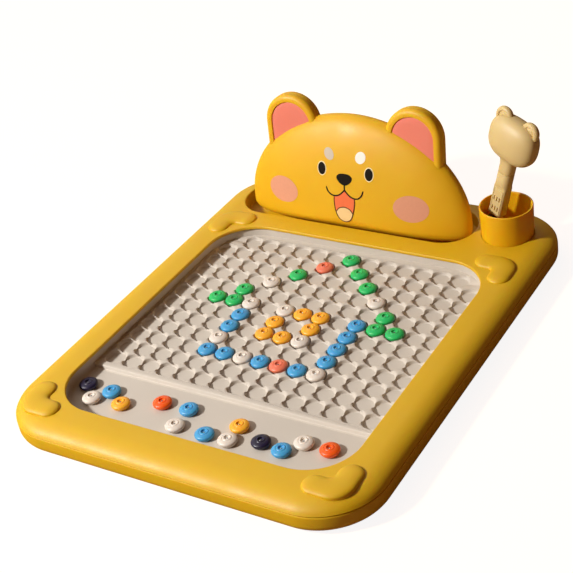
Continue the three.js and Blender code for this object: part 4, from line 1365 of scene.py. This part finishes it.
def curve(knots, closed=False, steps=8):
    """A smooth line through knots, given in pit pitches and returned in metres."""
    pitch = sizes("plate").pitch
    points = []
    count = len(knots)
    for i in range(count if closed else count - 1):
        four = [(i + k) % count if closed else min(max(i + k, 0), count - 1) for k in (-1, 0, 1, 2)]
        p = [Vector(knots[k]) for k in four]
        for step in range(steps):
            t = step / steps
            v = 0.5 * (2 * p[1] + (p[2] - p[0]) * t + (2 * p[0] - 5 * p[1] + 4 * p[2] - p[3]) * t ** 2
                       + (3 * p[1] - p[0] - 3 * p[2] + p[3]) * t ** 3)
            points.append((v.x * pitch, v.y * pitch))
    if not closed:
        points.append((knots[-1][0] * pitch, knots[-1][1] * pitch))
    return points


def build_face():
    """The face's prints, each a thin film on the head's front shell."""
    at = places().head
    p = sizes("plate").pitch

    def printed(name, bm, ink):
        moulding(name, bm, "ink " + ink, "head", at=at)

    def spot(name, middle, half, lift, ink, turn=0):
        middle = (middle[0] * p, middle[1] * p)
        printed(name, film(oval(middle, half[0] * p, half[1] * p, math.radians(turn)), middle, lift), ink)

    for name, eye, brow, brow_half, brow_turn, brow_ink, cheek in EYES_BROWS_CHEEKS:
        spot(f"eye_edge_{name}", eye, EYE_EDGE, INK_LOW, "pale")
        spot(f"eye_{name}", eye, EYE, INK_MIDDLE, "black")
        spot(f"brow_{name}", brow, brow_half, INK_LOW, brow_ink, brow_turn)
        spot(f"cheek_{name}", cheek, CHEEK, INK_LOW, "cheek")
    printed("nose", film(curve(NOSE, True), (0, 2.535 * p), INK_MIDDLE), "black")
    mouth = [(0, 1.925), (0.3, 1.655), *MOUTH_RIGHT[::-1], MOUTH_LOW, *MOUTH_LEFT[::-1], (-0.3, 1.655)]
    printed("mouth", film(curve(mouth, True), (-0.03 * p, 1.085 * p), INK_LOW), "mouth")
    tongue = [*TONGUE_TOP[2:], (0.27, 0.315), (-0.05, 0.165), (-0.37, 0.315), *TONGUE_TOP[:2]]
    printed("tongue", film(curve(tongue, True), (-0.05 * p, 0.585 * p), INK_MIDDLE), "tongue")
    mouth_edge = [*MOUTH_LEFT, MOUTH_LOW, *MOUTH_RIGHT]
    printed("mouth_edge", stroke(curve(mouth_edge), MOUTH_LINE * p, INK_HIGH), "line")
    printed("tongue_edge", stroke(curve(TONGUE_TOP), TONGUE_LINE * p, INK_HIGH), "line")
    for name, line in SMILE.items():
        printed(f"smile_{name}", stroke(curve(line), SMILE_LINE * p, INK_HIGH), "black")


# The cup and the pen


def build_cup():
    """The pen cup, with a rounded rim and a socket for the pen's tip on its floor."""
    pen = sizes("pen")
    floor, base, hollow = pen.cup_floor, pen.cup_bottom - pen.cup_foot, pen.cup_floor - pen.cup_foot
    cup = turned(soft([
        (0, hollow, 0), (base, hollow, 0.4 * MM), (base, pen.cup_low, 0.3 * MM),
        (pen.cup_bottom, pen.cup_low, 0.7 * MM), (pen.cup_top, pen.cup_rim, 0.6 * MM),
        (pen.cup_top - pen.cup_wall, pen.cup_rim, 0.6 * MM),
        (pen.cup_bottom - pen.cup_wall, floor, 1.5 * MM), (0, floor, 0),
    ], 6), ROUND_SIDES * 2)
    cup.transform(Matrix.Translation((pen.cup_x, pen.cup_y, 0)))
    middle = floor + pen.socket_height / 2
    x = pen.foot_x - (pen.foot_z - middle) * math.tan(pen.lean)
    bore, outer, top = pen.socket_radius, pen.socket_radius + pen.socket_wall, floor + pen.socket_height
    low = floor - 0.5 * MM
    side = low + 0.1 * MM
    profile = [(bore, low), (outer, low)] + soft([
        (outer, side, 0), (outer, top, 0.4 * MM), (bore, top, 0.5 * MM), (bore, side, 0),
    ])
    socket = skin(bmesh.new(), [round_ring(r, z, SMALL_SIDES) for r, z in profile], loop=True)
    socket.transform(Matrix.Translation((x, pen.foot_y, 0)))
    moulding("cup", joined(cup, socket), "cup", "cup", ["pen_cup"])


def pen_place():
    """Where the pen stands: its axis leans to the right, and it is turned on it."""
    pen = sizes("pen")
    foot = Matrix.Translation((pen.foot_x, pen.foot_y, pen.foot_z))
    return foot @ Matrix.Rotation(pen.lean, 4, "Y") @ Matrix.Rotation(pen.turn, 4, "Z")


def section(width, depth, corner, height):
    """A ring of the pen's section."""
    return ring(width / 2, depth / 2, corner, height, steps=8)


def pen_handle():
    """The handle: a flat grip with a bordered panel and two rows of slots, then a rounder shank."""
    pen = sizes("pen")
    w, d, c = pen.grip_width, pen.grip_depth, pen.grip_corner
    sw, sd, sc = pen.shank_width, pen.shank_depth, pen.shank_corner
    top, grip_top, blend = pen.handle - PLAY, pen.grip_length - 0.4 * MM, 2.6 * MM
    rings = [
        section(w - 1 * MM, d - 1 * MM, c * 0.7, 0), section(w - 0.3 * MM, d - 0.3 * MM, c * 0.9, 0.15 * MM),
        section(w, d, c, 0.5 * MM), section(w, d, c, grip_top),
    ]
    for share in (0.1, 0.3, 0.5, 0.7, 0.9, 1.0):
        ease = eased(share)
        rings.append(section(
            w + (sw - w) * ease, d + (sd - d) * ease, c + (sc - c) * ease, grip_top + blend * share))
    rings += [
        section(sw, sd, sc, top - 0.4 * MM),
        section(sw - 0.25 * MM, sd - 0.25 * MM, sc * 0.95, top - 0.1 * MM),
        section(sw - 0.7 * MM, sd - 0.7 * MM, sc * 0.85, top),
    ]
    laid = Matrix.Rotation(math.pi / 2, 4, "X")
    slots = []
    low_row, high_row = 5.8 * MM, 13.6 * MM
    for z in (low_row, high_row):
        for x in (-pen.slot_pitch, 0, pen.slot_pitch):
            slot = solid_block(
                (x - pen.slot_half, -pen.slot_reach, -pen.slot_depth),
                (x + pen.slot_half, pen.slot_reach, OVERRUN), 0.2 * MM, 3)
            slot.transform(Matrix.Translation((0, -d / 2, z)) @ laid)
            slots.append(("DIFFERENCE", slot))
    half, low, high, edge = w / 2 - 1.2 * MM, 0.9 * MM, pen.grip_length - 2 * MM, 0.5 * MM
    thick, sunk = 0.7 * MM, 0.45 * MM
    bars = []
    for x0, x1, z0, z1 in (
        (-half, -half + edge, low, high), (half - edge, half, low, high),
        (-half + edge, half - edge, low, low + edge), (-half + edge, half - edge, high - edge, high),
    ):
        bar = solid_block((x0, z0, 0), (x1, z1, thick), 0.12 * MM, 3)
        bar.transform(Matrix.Translation((0, sunk - d / 2, 0)) @ laid)
        bars.append(bar)
    return joined(carved(skin(bmesh.new(), rings), *slots), *bars)


def pen_skull():
    """The pen head's squared-off pillow."""
    pen = sizes("pen")
    outline = oval((0, 0), pen.skull_width, pen.skull_height, 0.0, pen.skull_power, ROUND_SIDES)
    shares = (0.15, 0.3, 0.44, 0.56, 0.67, 0.76, 0.84, 0.9, 0.945, 0.975, 0.993)
    rings = [[Vector((0, -pen.skull_depth, pen.skull_up))]]
    for side, row in ((-1, shares), (0, (1.0,)), (1, shares[::-1])):
        for share in row:
            depth = side * pen.skull_depth * (1 - share ** 2) ** (1 / pen.skull_swell)
            rings.append([Vector((x * share, depth, pen.skull_up + z * share)) for x, z in outline])
    rings.append([Vector((0, pen.skull_depth, pen.skull_up))])
    return skin(bmesh.new(), rings)


def pen_ear(side):
    """A small round ear with a rolled edge and a ring sunk in each dish."""
    pen = sizes("pen")
    r, h = pen.ear_radius, pen.ear_depth
    edge = rolled_edge(r, h, pen.ear_rounding, PEN_EAR_STEPS)
    groove, soften = h - 0.9 * MM, 0.3 * MM
    ear = turned([(0, -h)] + [(x, -y) for x, y in edge[::-1]] + edge + soft([
        (r - 2.3 * MM, h, 0), (r - 2.6 * MM, h, 0.25 * MM), (r - 2.9 * MM, groove, soften),
        (r - 3.7 * MM, groove, soften), (r - 4.1 * MM, h - 0.4 * MM, soften), (0, h - 0.3 * MM, 0),
    ]), SMALL_SIDES)
    place = Matrix.Translation((side * pen.ear_across, 0, pen.skull_up + pen.ear_up))
    ear.transform(place @ Matrix.Rotation(math.pi / 2, 4, "X"))
    return ear


def pen_head():
    """The pen's head: a neck that widens softly, a squared-off pillow and two small dished ears."""
    pen = sizes("pen")
    sw, sd, sc = pen.shank_width, pen.shank_depth, pen.shank_corner
    low, chin = pen.handle, pen.skull_up - pen.skull_height
    neck = skin(bmesh.new(), [
        section(sw + out * MM, sd + out * 0.9 * MM, sc + out * 0.3 * MM, height)
        for out, height in (
            (-0.7, low), (-0.25, low + 0.1 * MM), (0, low + 0.4 * MM), (0, chin - 4 * MM),
            (0.3, chin - 2 * MM), (1.0, chin), (2.2, chin + 1.6 * MM), (4.2, chin + 3.2 * MM),
            (4.2, pen.skull_up),
        )
    ])
    pin = drum(pen.pin_radius, low - 6 * MM, low + OVERRUN, SMALL_SIDES)
    return joined(pen_skull(), neck, pen_ear(-1), pen_ear(1), pin)


def build_pen():
    """The pen: handle, head and magnet."""
    pen = sizes("pen")
    at = pen_place()
    moulding("pen_grip", pen_handle(), "pen", "pen", ["pen_handle"], at=at)
    moulding("pen_animal_head", pen_head(), "pen", "pen", ["pen_head"], at=at)
    drop = (pen.foot_z - pen.cup_floor - PLAY - pen.tip_radius * math.sin(pen.lean)) / math.cos(pen.lean)
    held = 0.6 * MM
    magnet = turned(soft([
        (0, -drop, 0), (pen.tip_radius, -drop, 0.4 * MM), (pen.tip_radius, -PLAY, 0.2 * MM),
        (pen.pin_radius, -PLAY, 0.1 * MM), (pen.pin_radius, held, 0), (0, held, 0),
    ]), SMALL_SIDES)
    moulding("pen_tip", magnet, "magnet", "pen", ["pen_magnet"], at=at)


# The stage

# The camera of the photograph, fitted to the plate's pits: its place, view direction, lens and sensor
CAMERA_AT = Vector((421.3, -582.5, 503.8)) * MM
CAMERA_AZIMUTH = math.radians(36.17)
CAMERA_ELEVATION = math.radians(32.86)
CAMERA_ROLL = math.radians(-10.15)
CAMERA_LENS = 83.83
CAMERA_SENSOR = 36

# Each lamp: name, width in metres, watts, and the azimuth and elevation in degrees that it shines from
LAMPS = (("key", 0.12, 29.5, -131, 38), ("rim", 2.2, 9.5, 152, 40))

# All lamps stand at one distance in metres and share one colour
LAMP_DISTANCE = 1.6
LAMP_COLOUR = (1.0, 0.99, 0.97)

# How bright the sky is on the board's left and on its right
SKY_LEFT = 0.29
SKY_RIGHT = 0.08

# The floor's radius in metres, and how brightly it glows to the camera
FLOOR_RADIUS = 3.0
FLOOR_GLOW = 0.9


def build_camera():
    """The camera, rolled on its own axis."""
    a, e, r = CAMERA_AZIMUTH, CAMERA_ELEVATION, CAMERA_ROLL
    back = Vector((math.sin(a) * math.cos(e), -math.cos(a) * math.cos(e), math.sin(e)))
    level = (-back).cross(Vector((0, 0, 1))).normalized()
    upright = level.cross(-back)
    right = math.cos(r) * level + math.sin(r) * upright
    up = -math.sin(r) * level + math.cos(r) * upright
    camera = linked("camera", bpy.data.cameras.new("camera"))
    camera.data.lens = CAMERA_LENS
    camera.data.sensor_width = CAMERA_SENSOR
    camera.data.clip_start = 10 * MM
    camera.matrix_world = Matrix.Translation(CAMERA_AT) @ Matrix((right, up, back)).transposed().to_4x4()
    bpy.context.scene.camera = camera


def build_lamps():
    """The key lamp from the front left and the broad rim lamp from behind."""
    for name, size, energy, azimuth, elevation in LAMPS:
        lamp = linked(name, bpy.data.lights.new(name, "AREA"))
        lamp.data.size = size
        lamp.data.energy = energy
        lamp.data.color = LAMP_COLOUR
        turn, rise = math.radians(azimuth), math.radians(elevation)
        towards = Vector((math.cos(turn) * math.cos(rise), math.sin(turn) * math.cos(rise), math.sin(rise)))
        lamp.location = towards * LAMP_DISTANCE
        lamp.rotation_euler = towards.to_track_quat("Z", "Y").to_euler()


def build_sky():
    """A warm sky that dims to the right, and plain white where the camera sees it."""
    tints = sizes("tints")
    world = bpy.data.worlds.new("warm sky")
    bpy.context.scene.world = world
    tree = cleared(world)
    rays = add(tree, "ShaderNodeLightPath").outputs
    seen = add(
        tree, "ShaderNodeMath", {0: rays["Is Camera Ray"], 1: rays["Is Transmission Ray"]},
        operation="MAXIMUM",
    ).outputs[0]
    way = add(tree, "ShaderNodeTexCoord").outputs["Generated"]
    across = add(
        tree, "ShaderNodeMapRange",
        {0: add(tree, "ShaderNodeSeparateXYZ", {0: way}).outputs["X"], 1: -0.8, 2: 0.8},
    ).outputs[0]
    light = add(
        tree, "ShaderNodeMix",
        {0: across, 6: shade(tints.sky_left, SKY_LEFT), 7: shade(tints.sky_right, SKY_RIGHT)},
        data_type="RGBA",
    ).outputs[2]
    sky = add(tree, "ShaderNodeBackground", {"Color": light, "Strength": 1.0})
    white = add(tree, "ShaderNodeBackground", {"Color": tints.backdrop, "Strength": 1.0})
    mixed = add(tree, "ShaderNodeMixShader", {0: seen, 1: sky.outputs[0], 2: white.outputs[0]})
    add(tree, "ShaderNodeOutputWorld", {"Surface": mixed.outputs[0]})


def build_floor():
    """A painted board that glows white to the camera and keeps the shadow."""
    tints = sizes("tints")
    bm = bmesh.new()
    bm.faces.new([bm.verts.new(point) for point in round_ring(FLOOR_RADIUS, -0.1 * MM)])
    mesh = settled("floor", bm)
    material = bpy.data.materials.new("Painted board floor")
    tree = cleared(material)
    seen = add(tree, "ShaderNodeLightPath").outputs["Is Camera Ray"]
    paint = add(tree, "ShaderNodeBsdfDiffuse", {"Color": tints.ground})
    glow = add(tree, "ShaderNodeEmission", {"Color": tints.backdrop, "Strength": FLOOR_GLOW})
    both = add(tree, "ShaderNodeAddShader", {0: paint.outputs[0], 1: glow.outputs[0]})
    shown = add(tree, "ShaderNodeMixShader", {0: seen, 1: paint.outputs[0], 2: both.outputs[0]})
    add(tree, "ShaderNodeOutputMaterial", {"Surface": shown.outputs[0]})
    mesh.materials.append(material)
    linked("floor", mesh)


def build_stage():
    """The camera, the lamps, the sky and the floor."""
    build_camera()
    build_lamps()
    build_sky()
    build_floor()
    bpy.context.scene.view_settings.view_transform = "Standard"


# Operators and panel


class BEADBOARD_OT_case(bpy.types.Operator):
    """Builds the lower case, the top frame, the pads, the screws and the feet, and dresses the sheet"""

    bl_idname = "bead_board.case"
    bl_label = "Case"

    def execute(self, context):
        build_case()
        return {"FINISHED"}


class BEADBOARD_OT_plate(bpy.types.Operator):
    """Builds the bead plate"""

    bl_idname = "bead_board.plate"
    bl_label = "Plate"

    def execute(self, context):
        build_plate()
        return {"FINISHED"}


class BEADBOARD_OT_beads(bpy.types.Operator):
    """Builds the seated beads and the loose beads"""

    bl_idname = "bead_board.beads"
    bl_label = "Beads"

    def execute(self, context):
        build_beads()
        return {"FINISHED"}


class BEADBOARD_OT_head(bpy.types.Operator):
    """Builds the head's shells and ear inserts"""

    bl_idname = "bead_board.head"
    bl_label = "Head"

    def execute(self, context):
        build_head()
        return {"FINISHED"}


class BEADBOARD_OT_face(bpy.types.Operator):
    """Builds the printed face"""

    bl_idname = "bead_board.face"
    bl_label = "Face"

    def execute(self, context):
        build_face()
        return {"FINISHED"}


class BEADBOARD_OT_cup(bpy.types.Operator):
    """Builds the pen cup"""

    bl_idname = "bead_board.cup"
    bl_label = "Cup"

    def execute(self, context):
        build_cup()
        return {"FINISHED"}


class BEADBOARD_OT_pen(bpy.types.Operator):
    """Builds the pen"""

    bl_idname = "bead_board.pen"
    bl_label = "Pen"

    def execute(self, context):
        build_pen()
        return {"FINISHED"}


class BEADBOARD_OT_stage(bpy.types.Operator):
    """Builds the camera, the lamps, the sky and the floor"""

    bl_idname = "bead_board.stage"
    bl_label = "Stage"

    def execute(self, context):
        build_stage()
        return {"FINISHED"}


OPERATORS = (
    BEADBOARD_OT_case, BEADBOARD_OT_plate, BEADBOARD_OT_beads, BEADBOARD_OT_head,
    BEADBOARD_OT_face, BEADBOARD_OT_cup, BEADBOARD_OT_pen, BEADBOARD_OT_stage,
)


class BEADBOARD_PT_sidebar(bpy.types.Panel):
    """Lists the board's pieces, sizes and colours"""

    bl_idname = "BEADBOARD_PT_sidebar"
    bl_label = "Bead Board"
    bl_space_type = "VIEW_3D"
    bl_region_type = "UI"
    bl_category = "Bead Board"

    def draw(self, context):
        for operator in OPERATORS:
            self.layout.operator(operator.bl_idname)
        for group in GROUPS:
            box = self.layout.box()
            held = getattr(context.scene, group)
            for name in held.bl_rna.properties.keys():
                if name not in ("name", "rna_type"):
                    box.prop(held, name)


def register():
    """Registers the sizes, the operators and the panel."""
    for group, kind in GROUPS.items():
        bpy.utils.register_class(kind)
        setattr(bpy.types.Scene, group, PointerProperty(type=kind))
    for kind in (*OPERATORS, BEADBOARD_PT_sidebar):
        bpy.utils.register_class(kind)


def unregister():
    """Takes them away again."""
    for kind in (BEADBOARD_PT_sidebar, *reversed(OPERATORS)):
        bpy.utils.unregister_class(kind)
    for group, kind in GROUPS.items():
        delattr(bpy.types.Scene, group)
        bpy.utils.unregister_class(kind)


def main():
    """Builds every piece in order."""
    register()
    for step in ("case", "plate", "beads", "head", "face", "cup", "pen", "stage"):
        getattr(bpy.ops.bead_board, step)()


if __name__ == "__main__":
    main()
